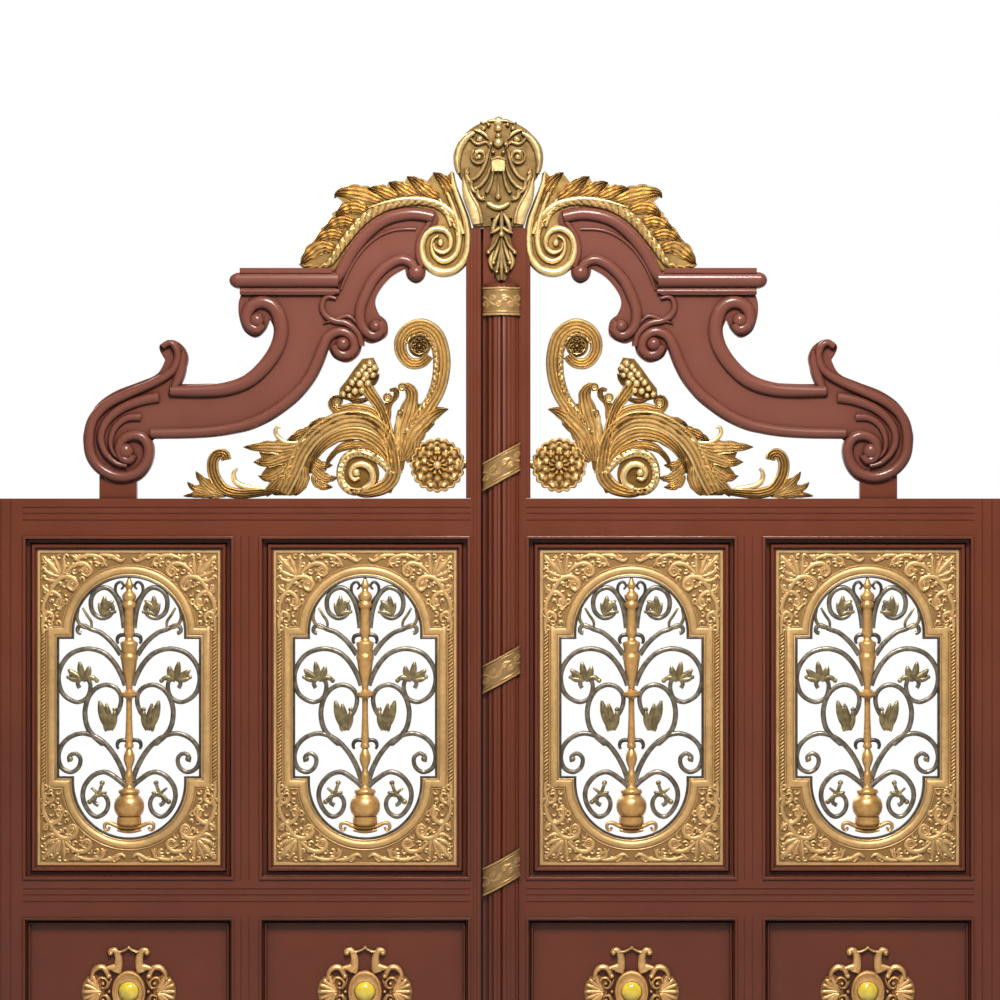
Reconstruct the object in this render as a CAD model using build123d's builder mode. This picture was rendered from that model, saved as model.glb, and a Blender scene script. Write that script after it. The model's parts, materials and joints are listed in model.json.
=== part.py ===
"""Double-leaf ornamental gate with its frame, threshold, hinges and bolts.

Millimetres. +X runs across the gate to the right, -Y is the street side that is seen first,
+Z is up. The origin is on the ground, in the middle of the opening and of the leaf depth.
Ornament outlines give distances from the centreline and heights above the leaf, so one
outline serves both leaves.
"""
import os
from math import cos, hypot, radians, sin

from build123d import *

# Opening and fixed frame
opening_width = 4070
jamb_width = 120
jamb_depth = 100
jamb_wall = 4
jamb_height = 2560
threshold_height = 20
threshold_depth = 140
anchor_hole_radius = 7
anchor_spacing_across = 60
anchor_spacing_up = 1800

# Leaf framing
leaf_depth = 80
leaf_wall = 4
jamb_gap = 12
floor_gap = 10
leaf_gap = 10
leaf_split = -65
outer_stile_width = 120
mullion_width = 100
meeting_reach = 111
rail_height = 150
upper_opening_height = 1376
lower_opening_height = 600
meeting_rise = 1082
reed_width = 5
reed_depth = 2

# Panels
bead_width = 56
bead_depth = 92
bead_lip = 12
bead_slope = 16
bead_ledge = 12
plate_thickness = 16
surround_border = 14
arch_width = 460
arch_margin = 102
wide_part_width = 579
wide_part_height = 568
opening_band = 42
casting_gap = 0.3
grille_rim = 9
scroll_bar = 18
scroll_depth = 16
stem_depth = 30
medallion_reach = 188
medallion_thickness = 16
boss_radius = 42
boss_rise = 20

# Crest, ornaments and column
fascia_depth = 52
roll_depth = 88
ball_depth = 108
ornament_depth = 44
acanthus_depth = 64
leaf_clearance = 12
column_left = -57
column_right = 83
column_rise = 45
column_top = 858
flute_radius = 8
flute_count = 7
band_thickness = 9
band_height = 112
straight_band_height = 788
first_band_height = 127
band_pitch = 810
band_count = 4
band_slope = 0.55
cartouche_radius = 176
cartouche_height = 1363
cartouche_thickness = 20
relief_step = 9
pendant_width = 134
pendant_drops = ((26, 1000, 60, 966), (12, 960, 34, 916), (0, 960, 10, 884))

# Hinges and bolts
hinge_radius = 12
hinge_pin_radius = 6
hinge_running_gap = 0.05
hinge_half_length = 60
hinge_plate_width = 60
hinge_plate_thickness = 6
hinge_end_gap = 0.3
hinge_heights = (330, 1240, 2200)
bolt_radius = 8
bolt_running_gap = 0.3
bolt_stand_off = 20
bolt_guide_width = 34
bolt_guide_length = 30
guide_cover = 7
drop_bolt_length = 700
drop_bolt_lowest = 6
drop_bolt_travel = 56
slide_bolt_height = 1180
slide_bolt_travel = 50
knob_radius = 6
knob_length = 34

# Levels and distances that follow from the sizes above
half_depth = leaf_depth / 2
leaf_bottom = threshold_height + floor_gap
lower_opening_bottom = leaf_bottom + rail_height
mid_rail_bottom = lower_opening_bottom + lower_opening_height
upper_opening_bottom = mid_rail_bottom + rail_height
top_rail_bottom = upper_opening_bottom + upper_opening_height
leaf_top = top_rail_bottom + rail_height
leaf_reach = opening_width / 2 - jamb_gap
stile_inner = leaf_reach - outer_stile_width
panel_opening = (stile_inner - meeting_reach - mullion_width) / 2
inner_panel_centre = meeting_reach + panel_opening / 2
mullion_centre = meeting_reach + panel_opening + mullion_width / 2
outer_panel_centre = stile_inner - panel_opening / 2
field_width = panel_opening - 2 * bead_width
upper_field_height = upper_opening_height - 2 * bead_width
upper_centre = upper_opening_bottom + upper_opening_height / 2
lower_centre = lower_opening_bottom + lower_opening_height / 2
hinge_x = opening_width / 2 - jamb_gap / 2
hinge_y = half_depth + hinge_radius
bolt_y = half_depth + bolt_stand_off
jamb_centre_y = half_depth - jamb_depth / 2
threshold_centre_y = half_depth - jamb_depth + threshold_depth / 2
left_stile_middle = (leaf_split - leaf_gap / 2 - meeting_reach) / 2
drop_bolt_x = {"left": left_stile_middle, "right": meeting_reach - bolt_guide_width}
right_stile_edge = leaf_split + leaf_gap / 2
slide_bolt_start = right_stile_edge + leaf_gap / 2
slide_guides = {
    "left": (left_stile_middle,),
    "right": (slide_bolt_start + bolt_guide_length / 2, meeting_reach - bolt_guide_width),
}
slide_bolt_length = slide_guides["right"][1] + bolt_guide_length / 2 + slide_bolt_travel - slide_bolt_start
drop_bolt_rest = drop_bolt_lowest + drop_bolt_travel
column_centre = (column_left + column_right) / 2
column_half = (column_right - column_left) / 2
column_radius = (column_half**2 + column_rise**2) / (2 * column_rise)
column_axis_y = column_radius - column_rise - half_depth

# Ornament outlines were drawn on a leaf of this reach and follow the real one sideways
drawn_leaf_reach = 2023
crest_stretch = (leaf_reach - meeting_reach) / (drawn_leaf_reach - 111)

os.makedirs("parts", exist_ok=True)


def keep(builder, label):
    """Label a finished piece and write it."""
    builder.part.label = label
    export_step(builder.part, f"parts/{label}.step")


def above_leaf(points):
    """Crest outline points, stretched with the leaf, as distance and height over the leaf."""
    return [(meeting_reach + (u - 111) * crest_stretch, h) for u, h in points]


def for_side(points, side):
    """Turn distances from the centreline into x on one leaf, at the height of its top."""
    return [(side * u, leaf_top + h) for u, h in points]


def stroke(points, start, belly, end):
    """A curved strip along the points, with its width at the start, middle and end."""
    last = len(points) - 1
    left, right = [], []
    for i, (x, z) in enumerate(points):
        share = i / last
        half = (start * (1 - share) * (1 - 2 * share) + 4 * belly * share * (1 - share)
                + end * share * (2 * share - 1)) / 2
        before, after = points[max(i - 1, 0)], points[min(i + 1, last)]
        run, rise = after[0] - before[0], after[1] - before[1]
        length = hypot(run, rise)
        left.append((x - rise / length * half, z + run / length * half))
        right.append((x + rise / length * half, z - run / length * half))
    with BuildSketch() as strip:
        with BuildLine():
            Spline(*left)
            Line(left[-1], right[-1])
            Spline(*right)
            Line(right[0], left[0])
        make_face()
    return strip.sketch


def outline(*runs):
    """A closed shape from smooth runs of points that meet at corners."""
    with BuildSketch() as shape:
        with BuildLine():
            for i, run in enumerate(runs):
                following = runs[(i + 1) % len(runs)][0]
                if len(run) > 1:
                    Spline(*run)
                if run[-1] != following:
                    Line(run[-1], following)
        make_face()
    return shape.sketch


def box_member(width, length, open_top=True):
    """Upright hollow member with reeded faces, standing on the ground plane."""
    with BuildPart() as member:
        with BuildSketch():
            Rectangle(width, leaf_depth)
            for face in (-1, 1):
                with Locations((-width * 0.22, face * half_depth), (width * 0.1, face * half_depth)):
                    Rectangle(reed_width, 2 * reed_depth, mode=Mode.SUBTRACT)
        extrude(amount=length)
        with BuildSketch():
            Rectangle(width - 2 * leaf_wall, leaf_depth - 2 * leaf_wall)
        extrude(amount=length if open_top else length - leaf_wall, mode=Mode.SUBTRACT)
    return member.part


def upright(label, x, width, bottom, top, open_top=True):
    """Write one stile or mullion between two levels."""
    with BuildPart() as piece:
        with Locations((x, 0, bottom)):
            add(box_member(width, top - bottom, open_top))
    keep(piece, label)


def crossbar(label, start, end, bottom):
    """Write one rail between two stiles, with its reeds running along it."""
    with BuildPart() as piece:
        with BuildSketch(Plane.YZ.offset(start)):
            with Locations((0, bottom + rail_height / 2)):
                Rectangle(leaf_depth, rail_height)
            for face in (-1, 1):
                for height in (0.42, 0.6, 0.76):
                    with Locations((face * half_depth, bottom + rail_height * height)):
                        Rectangle(2 * reed_depth, reed_width, mode=Mode.SUBTRACT)
            with Locations((0, bottom + rail_height / 2)):
                Rectangle(leaf_depth - 2 * leaf_wall, rail_height - 2 * leaf_wall, mode=Mode.SUBTRACT)
        extrude(amount=end - start)
    keep(piece, label)


def bead_ring(width, height, panel=0):
    """Moulding round a panel opening, alike on both faces; a panel thickness fills it."""
    front = bead_depth / 2
    ledge = front - bead_slope * 1.5
    floor = ledge - bead_slope / 2
    slope_start = bead_lip
    ledge_start = bead_lip + bead_slope
    floor_start = ledge_start + bead_ledge
    with BuildPart() as ring:
        with BuildSketch(Plane.XZ):
            Rectangle(width, height)
        extrude(amount=front)
        with BuildSketch(Plane.XZ.offset(front)):
            Rectangle(width - 2 * slope_start, height - 2 * slope_start)
        with BuildSketch(Plane.XZ.offset(ledge)):
            Rectangle(width - 2 * ledge_start, height - 2 * ledge_start)
        loft(mode=Mode.SUBTRACT)
        with BuildSketch(Plane.XZ.offset(floor)):
            Rectangle(width - 2 * floor_start, height - 2 * floor_start)
        extrude(amount=front, mode=Mode.SUBTRACT)
        with BuildSketch(Plane.XZ.offset(panel / 2)):
            Rectangle(width - 2 * bead_width, height - 2 * bead_width)
        extrude(amount=front, mode=Mode.SUBTRACT)
        mirror(about=Plane.XZ)
    return ring.part


def arched_shape(grow, field_height):
    """The see-through shape of an upper panel: tall rounded ends and a wider middle."""
    with BuildSketch() as shape:
        Rectangle(wide_part_width + 2 * grow, wide_part_height + 2 * grow)
        SlotCenterToCenter(field_height - 2 * arch_margin - arch_width, arch_width + 2 * grow, rotation=90)
    return shape.sketch


def four_ways():
    """Repeat the current sketch to the left and below."""
    mirror(about=Plane.YZ)
    mirror(about=Plane.XZ)


def slab(sketch, depth):
    """Extrude a front-view sketch evenly to both sides of the leaf's middle plane."""
    with BuildPart() as solid:
        with BuildSketch(Plane.XZ.offset(-depth / 2)):
            add(sketch)
        extrude(amount=depth)
    return solid.part


def corner_carving():
    """Carving in one corner of a surround: two scrolls, a corner leaf, a rosette and buds."""
    side, top = field_width / 2, upper_field_height / 2
    strokes = (
        ([(side - 26, top - 300), (side - 34, top - 230), (side - 62, top - 150), (side - 120, top - 120),
          (side - 158, top - 160), (side - 140, top - 200), (side - 106, top - 190)], 12, 30, 12),
        ([(34, top - 34), (90, top - 44), (160, top - 66), (196, top - 46), (180, top - 24)], 14, 26, 12),
        ([(side - 190, top - 92), (side - 130, top - 84), (side - 72, top - 62), (side - 22, top - 22)],
         16, 46, 8),
        ([(side - 60, top - 150), (side - 34, top - 116), (side - 34, top - 66)], 12, 24, 8),
        ([(side - 84, top - 262), (side - 70, top - 226), (side - 86, top - 190)], 10, 22, 8),
    )
    with BuildSketch() as corner:
        for points, start, belly, end in strokes:
            add(stroke(points, start, belly, end))
        with Locations((side - 118, top - 172)):
            Circle(17)
        with Locations((28, top - 60), (side - 30, top - 290)):
            Circle(12)
        four_ways()
        add(arched_shape(opening_band, upper_field_height), mode=Mode.SUBTRACT)
    return corner.sketch


def surround_panel():
    """Pierced gilt panel: flat plate, edge strip, raised band round the opening, carving."""
    with BuildSketch() as plate:
        Rectangle(field_width, upper_field_height)
        add(arched_shape(0, upper_field_height), mode=Mode.SUBTRACT)
    with BuildSketch() as edging:
        Rectangle(field_width, upper_field_height)
        inner = 2 * surround_border
        Rectangle(field_width - inner, upper_field_height - inner, mode=Mode.SUBTRACT)
    with BuildSketch() as band:
        add(arched_shape(opening_band, upper_field_height))
        add(arched_shape(0, upper_field_height), mode=Mode.SUBTRACT)
    with BuildPart() as panel:
        add(slab(plate.sketch, plate_thickness))
        add(slab(edging.sketch, plate_thickness + 6))
        add(slab(band.sketch, plate_thickness + 14))
        add(slab(corner_carving(), plate_thickness + 18))
    return panel.part


grille_scrolls = (
    [(20, 318), (33, 400), (59, 456), (94, 481), (135, 466), (153, 430), (146, 384), (115, 359), (74, 369),
     (59, 389)],
    [(33, 211), (70, 262), (115, 300), (153, 314), (186, 330), (206, 310)],
    [(15, 88), (33, 134), (64, 185), (105, 221), (166, 236), (232, 216), (273, 165), (283, 109), (263, 52),
     (212, 22), (171, 37), (156, 73), (156, 113)],
    [(105, -147), (161, -91), (177, -27), (166, 33), (138, 73), (98, 91), (58, 81), (34, 49), (36, 5),
     (58, -35), (80, -71)],
    [(15, -290), (33, -239), (64, -183), (105, -137), (150, -111), (196, -104), (242, -122), (273, -157),
     (283, -203), (268, -244), (232, -259), (202, -239), (196, -203), (217, -178), (242, -188)],
    [(8, -322), (40, -292), (94, -259), (140, -270), (176, -310), (186, -351), (176, -392), (150, -428),
     (125, -438), (94, -418), (84, -382), (105, -341), (130, -326)],
)
grille_leaves = (
    [(104, 356), (96, 400), (112, 440)],
    [(104, 356), (122, 392), (138, 418)],
    [(176, 330), (180, 352), (170, 376)],
    [(160, 76), (196, 104), (226, 150)],
    [(160, 76), (184, 128), (180, 168)],
    [(160, 76), (206, 84), (240, 96)],
    [(92, -76), (80, -30), (92, 34)],
    [(92, -76), (112, -30), (130, 12)],
    [(132, -326), (118, -362), (128, -392)],
    [(100, -350), (130, -348), (160, -352)],
)
# Stem, collars and vase as height and radius, from the foot up
stem_profile = (
    (-530, 46), (-512, 46), (-504, 92), (-466, 92), (-460, 34), (-452, 24), (-440, 50), (-400, 58),
    (-360, 50), (-346, 30), (-338, 62), (-330, 62), (-322, 20), (-278, 12), (-258, 26), (-226, 30),
    (-180, 18), (-160, 8), (40, 8), (44, 22), (60, 22), (66, 10), (78, 10), (186, 26), (196, 34),
    (262, 34), (272, 16), (290, 12), (296, 22), (360, 20), (396, 14), (408, 34), (420, 22), (440, 34),
    (470, 20), (490, 26), (512, 12), (530, 12),
)


def grille_casting():
    """Open scrollwork in its rim: scrolls left and right of a turned stem and vase."""
    spread = wide_part_width / 579
    rise = (upper_field_height - 2 * arch_margin) / 1060
    with BuildSketch() as scrolls:
        for points in grille_scrolls:
            bar = [(x * spread, z * rise) for x, z in points]
            add(stroke(bar, scroll_bar, scroll_bar, scroll_bar * 0.7))
        for points in grille_leaves:
            leaf = [(x * spread, z * rise) for x, z in points]
            add(stroke(leaf, scroll_bar * 0.5, scroll_bar * 1.4, scroll_bar * 0.3))
        mirror(about=Plane.YZ)
        add(arched_shape(-casting_gap - grille_rim / 2, upper_field_height), mode=Mode.INTERSECT)
    with BuildSketch() as rim:
        add(arched_shape(-casting_gap, upper_field_height))
        add(arched_shape(-casting_gap - grille_rim, upper_field_height), mode=Mode.SUBTRACT)
    turned = [(z * rise, radius) for z, radius in stem_profile]
    with BuildSketch() as stem:
        with BuildLine():
            Polyline(*[(radius, z) for z, radius in turned],
                     *[(-radius, z) for z, radius in reversed(turned)], close=True)
        make_face()
        add(arched_shape(-casting_gap - grille_rim / 2, upper_field_height), mode=Mode.INTERSECT)
    with BuildPart() as grille:
        add(slab(scrolls.sketch, scroll_depth))
        add(slab(rim.sketch, scroll_depth + 8))
        add(slab(stem.sketch, stem_depth))
    return grille.part


def medallion_casting():
    """Cross-shaped ornament on a lower panel: ring, four scrolled lobes and a crown."""
    reach = medallion_reach
    front = plate_thickness / 2
    with BuildSketch(Plane.XZ.offset(front)) as shape:
        Ellipse(boss_radius + 28, boss_radius + 52)
        with Locations((0, reach * 0.6)):
            Ellipse(reach * 0.2, reach * 0.26)
        with Locations((reach * 0.6, 0)):
            Ellipse(reach * 0.26, reach * 0.18)
        lobes = (
            ([(20, reach * 0.4), (60, reach * 0.66), (70, reach * 0.86), (36, reach * 0.9),
              (34, reach * 0.74)], 26, 30, 12),
            ([(reach * 0.4, 20), (reach * 0.62, 56), (reach * 0.84, 74), (reach * 0.92, 44),
              (reach * 0.76, 34)], 26, 30, 12),
            ([(reach * 0.28, reach * 0.3), (reach * 0.44, reach * 0.42), (reach * 0.52, reach * 0.54)],
             40, 34, 8),
            ([(0, reach * 0.5), (4, reach * 0.8), (0, reach)], 40, 34, 6),
            ([(reach * 0.5, 0), (reach * 0.8, 4), (reach, 0)], 40, 34, 6),
        )
        for points, start, belly, end in lobes:
            add(stroke(points, start, belly, end))
        four_ways()
    with BuildPart() as medallion:
        with BuildSketch(Plane.XZ.offset(front)):
            add(shape.sketch)
        extrude(amount=medallion_thickness)
        with BuildSketch(Plane.XZ.offset(front + medallion_thickness)):
            Ellipse(boss_radius + 22, boss_radius + 40)
        extrude(amount=6)
        with BuildSketch(Plane.XZ.offset(front)):
            Circle(boss_radius)
        extrude(amount=medallion_thickness + 6, mode=Mode.SUBTRACT)
    return medallion.part


def boss_dome():
    """Domed amber boss, seated on the panel inside the medallion's ring."""
    with BuildPart() as boss:
        with BuildSketch(Plane.XZ.offset(plate_thickness / 2)):
            Circle(boss_radius - casting_gap)
        extrude(amount=medallion_thickness + boss_rise)
        fillet(boss.faces().sort_by(Axis.Y)[0].edges(), boss_rise)
    return boss.part


# Crest outline, starting at the beam's end beside the outer volute and going round by the cap
crest_runs = (
    [(1279, 459), (1189, 459), (1090, 467), (1010, 495), (937, 545), (897, 608), (893, 660), (914, 717)],
    [(914, 717), (938, 668), (973, 644), (1015, 668), (1037, 724), (1040, 780), (1029, 818)],
    [(1029, 818), (1029, 842)],
    [(1029, 906), (1029, 922)],
    [(665, 922), (649, 902)],
    [(649, 902), (595, 1004), (523, 1094), (445, 1148), (343, 1166), (254, 1154)],
    [(254, 1154), (240, 1110), (296, 1050), (312, 990), (292, 930), (296, 885), (327, 862), (362, 880),
     (373, 920)],
    [(373, 920), (433, 884), (481, 824), (493, 782), (475, 734)],
    [(475, 734), (446, 706), (447, 652), (503, 621), (547, 636)],
    [(547, 636), (556, 580), (602, 545), (655, 560), (679, 598)],
    [(679, 598), (734, 496), (795, 411), (887, 342), (979, 296), (1057, 263), (1209, 246), (1391, 240)],
    [(1391, 240), (1381, 164), (1401, 110), (1441, 70), (1501, 56), (1554, 66), (1620, 124), (1653, 183),
     (1662, 250), (1640, 323), (1601, 382), (1534, 429), (1435, 468), (1365, 500), (1334, 555)],
    [(1334, 555), (1357, 611), (1315, 638), (1262, 610), (1242, 555), (1279, 459)],
)
# Raised rolls on the crest: points, then width at the start, the middle and the end
crest_rolls = (
    ([(645, 882), (585, 990), (512, 1075), (440, 1121), (345, 1139), (262, 1126)], 50, 54, 50),
    ([(631, 836), (583, 940), (517, 1022), (433, 1070), (330, 1078)], 12, 14, 12),
    ([(1300, 432), (1189, 432), (1095, 440), (1010, 470), (945, 520), (900, 585), (872, 650), (866, 715),
      (890, 768), (945, 786), (990, 762), (1000, 715)], 48, 62, 40),
    ([(1391, 264), (1209, 270), (1060, 288), (985, 322), (900, 368), (816, 432), (756, 514), (710, 604),
      (680, 656), (630, 674), (582, 652), (570, 610), (600, 574)], 40, 44, 36),
    ([(1300, 434), (1400, 446), (1500, 414), (1575, 362), (1622, 290), (1628, 215), (1600, 142),
      (1550, 96), (1490, 88), (1434, 108), (1406, 160), (1416, 215), (1455, 246), (1508, 240),
      (1534, 205), (1522, 166), (1490, 154)], 44, 42, 22),
    ([(327, 905), (352, 944), (392, 956), (446, 930), (500, 876), (524, 812), (520, 750), (496, 700)],
     40, 46, 66),
    ([(650, 800), (688, 806), (706, 775), (696, 738), (660, 712), (606, 700), (562, 662), (552, 620)],
     16, 34, 30),
    ([(1275, 465), (1266, 540), (1292, 592), (1330, 600), (1340, 570)], 52, 40, 16),
    ([(1425, 334), (1400, 384), (1353, 410), (1300, 400)], 12, 34, 20),
    ([(1520, 330), (1470, 370), (1400, 384)], 10, 30, 20),
)
crest_balls = ((973, 694, 48), (329, 903, 38), (495, 672, 48), (622, 622, 34), (1489, 186, 30))
foot_from, foot_to = 1448, 1597


def crest_outline(side):
    """Front view of a crest's plate."""
    return outline(*[for_side(above_leaf(run), side) for run in crest_runs])


def crest_casting(side):
    """Brown crest: plate, rolls along its edges, cap moulding and balls at the curls."""
    with BuildSketch() as rolls:
        for points, start, belly, end in crest_rolls:
            add(stroke(for_side(above_leaf(points), side), start, belly, end))
        add(crest_outline(side), mode=Mode.INTERSECT)
    with BuildSketch() as balls:
        for u, h, radius in crest_balls:
            with Locations(for_side(above_leaf([(u, h)]), side)[0]):
                Circle(radius)
    with BuildPart() as crest:
        add(slab(crest_outline(side), fascia_depth))
        add(slab(rolls.sketch, roll_depth))
        add(slab(balls.sketch, ball_depth))
        for left, right, low, high, depth in (
            (656, 1065, 842, 906, 112), (665, 1029, 906, 922, 100), (640, 1029, 818, 842, 92)
        ):
            (x1, z1), (x2, z2) = for_side(above_leaf([(left, low), (right, high)]), side)
            with Locations(((x1 + x2) / 2, 0, (z1 + z2) / 2)):
                Box(abs(x2 - x1), depth, z2 - z1)
    return crest.part


def crest_foot_post(side):
    """Short post between the top rail and the underside of the outer volute."""
    (left, low), (right, high) = for_side(above_leaf([(foot_from, 0), (foot_to, 110)]), side)
    with BuildPart() as post:
        with BuildSketch(Plane.XZ.offset(-fascia_depth / 2)):
            with Locations(((left + right) / 2, (low + high) / 2)):
                Rectangle(abs(right - left), high - low)
            add(crest_outline(side), mode=Mode.SUBTRACT)
        extrude(amount=fascia_depth)
    keep_lowest = post.part.solids().sort_by(Axis.Z)[0]
    with BuildPart() as lowest:
        add(keep_lowest)
    return lowest


# Acanthus on the arch with its volute, one casting: leaf edge, then the long ribbon
acanthus_runs = (
    [(799, 938), (784, 926), (700, 922), (649, 904), (595, 1006), (523, 1096), (445, 1150), (343, 1168),
     (262, 1156)],
    [(262, 1156), (252, 1110), (305, 1060), (318, 1010), (304, 950), (264, 912), (222, 900), (160, 916),
     (120, 950), (104, 1010), (104, 1070), (122, 1130), (150, 1190), (172, 1250), (185, 1314)],
    [(185, 1314), (222, 1272)],
    [(259, 1303), (292, 1262)],
    [(363, 1292), (388, 1242)],
    [(437, 1270), (462, 1222)],
    [(518, 1250), (540, 1206)],
    [(599, 1240), (655, 1216)],
    [(612, 1180), (668, 1140)],
    [(652, 1122), (712, 1080)],
    [(694, 1056), (748, 1022)],
    [(736, 1000), (799, 938)],
)
acanthus_veins = (
    ([(770, 950), (690, 1010), (610, 1110), (520, 1185), (400, 1215), (290, 1210), (205, 1170), (165, 1090),
      (170, 1000), (222, 950), (280, 980), (290, 1040), (250, 1070), (215, 1040), (228, 1010)], 14, 44, 14),
    ([(640, 1200), (560, 1205), (480, 1190)], 10, 24, 12),
    ([(185, 1300), (160, 1220), (128, 1130), (118, 1050)], 10, 22, 10),
)
volute_eye = (250, 1026, 22)


def cartouche_outline(grow=0):
    """Front view of the round top ornament with its side plates."""
    reach = cartouche_radius + grow
    centre = leaf_top + cartouche_height
    foot = leaf_top + meeting_rise
    with BuildSketch() as shape:
        with Locations((0, centre)):
            Circle(reach)
        with BuildLine():
            Polyline((-reach * 0.93, centre - 60), (-100 - grow, foot + 60), (-98 - grow, foot),
                     (98 + grow, foot), (100 + grow, foot + 60), (reach * 0.93, centre - 60), close=True)
        make_face()
    return shape.sketch


def acanthus_casting(side):
    """Gilt leaf and volute on the arch, trimmed to the crest, the stile and the top ornament."""
    gap = leaf_clearance if side < 0 else casting_gap
    with BuildSketch() as shape:
        add(outline(*[for_side(above_leaf(run), side) for run in acanthus_runs]))
        with Locations((side * meeting_reach / 2, leaf_top + meeting_rise)):
            Rectangle(meeting_reach, 2000, mode=Mode.SUBTRACT)
        add(crest_outline(side), mode=Mode.SUBTRACT)
        add(cartouche_outline(gap), mode=Mode.SUBTRACT)
    with BuildSketch() as veins:
        for points, start, belly, end in acanthus_veins:
            add(stroke(for_side(above_leaf(points), side), start, belly, end))
        u, h, radius = volute_eye
        with Locations(for_side(above_leaf([(u, h)]), side)[0]):
            Circle(radius)
        add(shape.sketch, mode=Mode.INTERSECT)
    with BuildPart() as casting:
        add(slab(shape.sketch, acanthus_depth * 0.6))
        add(slab(veins.sketch, acanthus_depth))
    return casting


# Scrollwork on the top rail: points, then width at the start, the middle and the end
spandrel_strokes = (
    ([(395, 150), (360, 210), (329, 258), (280, 330), (252, 396), (226, 466), (205, 526), (210, 590),
      (244, 664), (313, 694), (372, 664), (398, 606), (374, 560), (328, 538), (285, 562),
      (290, 600)], 40, 46, 24),
    ([(430, 150), (470, 250), (520, 400), (530, 520)], 40, 64, 20),
    ([(470, 250), (520, 330), (600, 400), (650, 377)], 24, 30, 14),
    ([(429, 230), (500, 262), (558, 280), (640, 300), (706, 296), (765, 250), (800, 170), (862, 14)],
     26, 40, 60),
    ([(300, 60), (380, 150), (450, 190), (560, 214), (640, 190), (672, 110), (640, 30), (570, 8),
      (505, 40), (482, 105), (515, 165), (575, 176), (622, 140), (618, 84), (575, 62), (540, 90)],
     20, 40, 18),
    ([(760, 250), (850, 236), (930, 226), (1025, 200)], 20, 40, 10),
    ([(800, 180), (880, 130), (960, 90), (1030, 96)], 20, 34, 10),
    ([(812, 150), (880, 70), (930, 30), (1000, 14), (1080, 12), (1133, 44), (1152, 110), (1132, 168),
      (1092, 182)], 30, 34, 26),
    ([(880, 40), (980, 46), (1040, 56), (1072, 104)], 14, 20, 12),
    ([(781, 228), (864, 238), (896, 266), (880, 288)], 14, 18, 10),
    ([(1120, 12), (1180, 14), (1240, 40), (1268, 82)], 24, 34, 8),
    ([(1150, 10), (1200, 40), (1228, 92)], 16, 26, 8),
    ([(330, 250), (300, 310), (330, 350)], 26, 44, 12),
    ([(350, 220), (400, 300), (420, 370)], 30, 50, 12),
    ([(300, 210), (260, 260), (230, 300)], 26, 40, 12),
    ([(160, 120), (126, 140), (104, 190)], 40, 34, 20),
    ([(690, 100), (740, 60), (780, 8)], 30, 50, 60),
)
spandrel_discs = (
    (240, 128, 108), (321, 610, 38), (527, 540, 40), (548, 470, 44), (572, 420, 36), (610, 395, 24),
    (573, 105, 40), (1088, 170, 24), (800, 60, 50), (420, 120, 60),
)
rosette = (240, 128, 108)
rosette_petals = 10


def spandrel_casting(side):
    """Gilt scrollwork that stands on the top rail and leans on the meeting stile."""
    with BuildSketch() as shape:
        for points, start, belly, end in spandrel_strokes:
            add(stroke(for_side(above_leaf(points), side), start, belly, end))
        for u, h, radius in spandrel_discs:
            with Locations(for_side(above_leaf([(u, h)]), side)[0]):
                Circle(radius)
        with Locations((side * leaf_reach / 2, leaf_top - rail_height)):
            Rectangle(leaf_reach, 2 * rail_height, mode=Mode.SUBTRACT)
        with Locations((side * meeting_reach / 2, leaf_top + meeting_rise)):
            Rectangle(meeting_reach, 2 * meeting_rise, mode=Mode.SUBTRACT)
    centre = for_side(above_leaf([rosette[:2]]), side)[0]
    with BuildSketch() as petals:
        with Locations(centre):
            with PolarLocations(rosette[2] * 0.62, rosette_petals):
                Ellipse(rosette[2] * 0.3, rosette[2] * 0.15)
            Circle(rosette[2] * 0.26)
    with BuildPart() as casting:
        add(slab(shape.sketch, ornament_depth))
        add(slab(petals.sketch, ornament_depth + 20))
    return casting


def knuckle(width_sign, height, length, bore):
    """One hinge knuckle with its plate, standing on the given height beside the pin."""
    with BuildPart() as piece:
        with BuildSketch(Plane.XY.offset(height)):
            Circle(hinge_radius)
            with Locations((width_sign * hinge_plate_width / 2, -hinge_radius + hinge_plate_thickness / 2)):
                Rectangle(hinge_plate_width, hinge_plate_thickness)
            Circle(bore, mode=Mode.SUBTRACT)
        extrude(amount=length)
    return piece.part


def jamb(label, side):
    """Hollow jamb with anchor holes through it and its half of each hinge welded on."""
    centre = side * (opening_width + jamb_width) / 2
    with BuildPart() as post:
        with BuildSketch():
            with Locations((centre, jamb_centre_y)):
                Rectangle(jamb_width, jamb_depth)
        extrude(amount=jamb_height)
        with BuildSketch():
            with Locations((centre, jamb_centre_y)):
                Rectangle(jamb_width - 2 * jamb_wall, jamb_depth - 2 * jamb_wall)
        extrude(amount=jamb_height - jamb_wall, mode=Mode.SUBTRACT)
        with BuildSketch(Plane.YZ.offset(centre - jamb_width)):
            with Locations((jamb_centre_y, jamb_height / 2)):
                with GridLocations(anchor_spacing_across, anchor_spacing_up, 2, 2):
                    Circle(anchor_hole_radius)
        extrude(amount=2 * jamb_width, mode=Mode.SUBTRACT)
        for height in hinge_heights:
            with Locations((side * hinge_x, hinge_y, 0)):
                add(knuckle(side, height - hinge_half_length, hinge_half_length, hinge_pin_radius))
    keep(post, label)


def bolt_guide(along_x=False):
    """Bored block for a bolt, standing on the leaf's back face with its bore at the origin."""
    depth = bolt_stand_off + bolt_radius + guide_cover
    with BuildPart() as block:
        with BuildSketch():
            with Locations((0, bolt_radius + guide_cover - depth / 2)):
                Rectangle(bolt_guide_width, depth)
            Circle(bolt_radius + bolt_running_gap, mode=Mode.SUBTRACT)
        extrude(amount=bolt_guide_length / 2, both=True)
    if along_x:
        return block.part.rotate(Axis.Y, 90)
    return block.part


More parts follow.
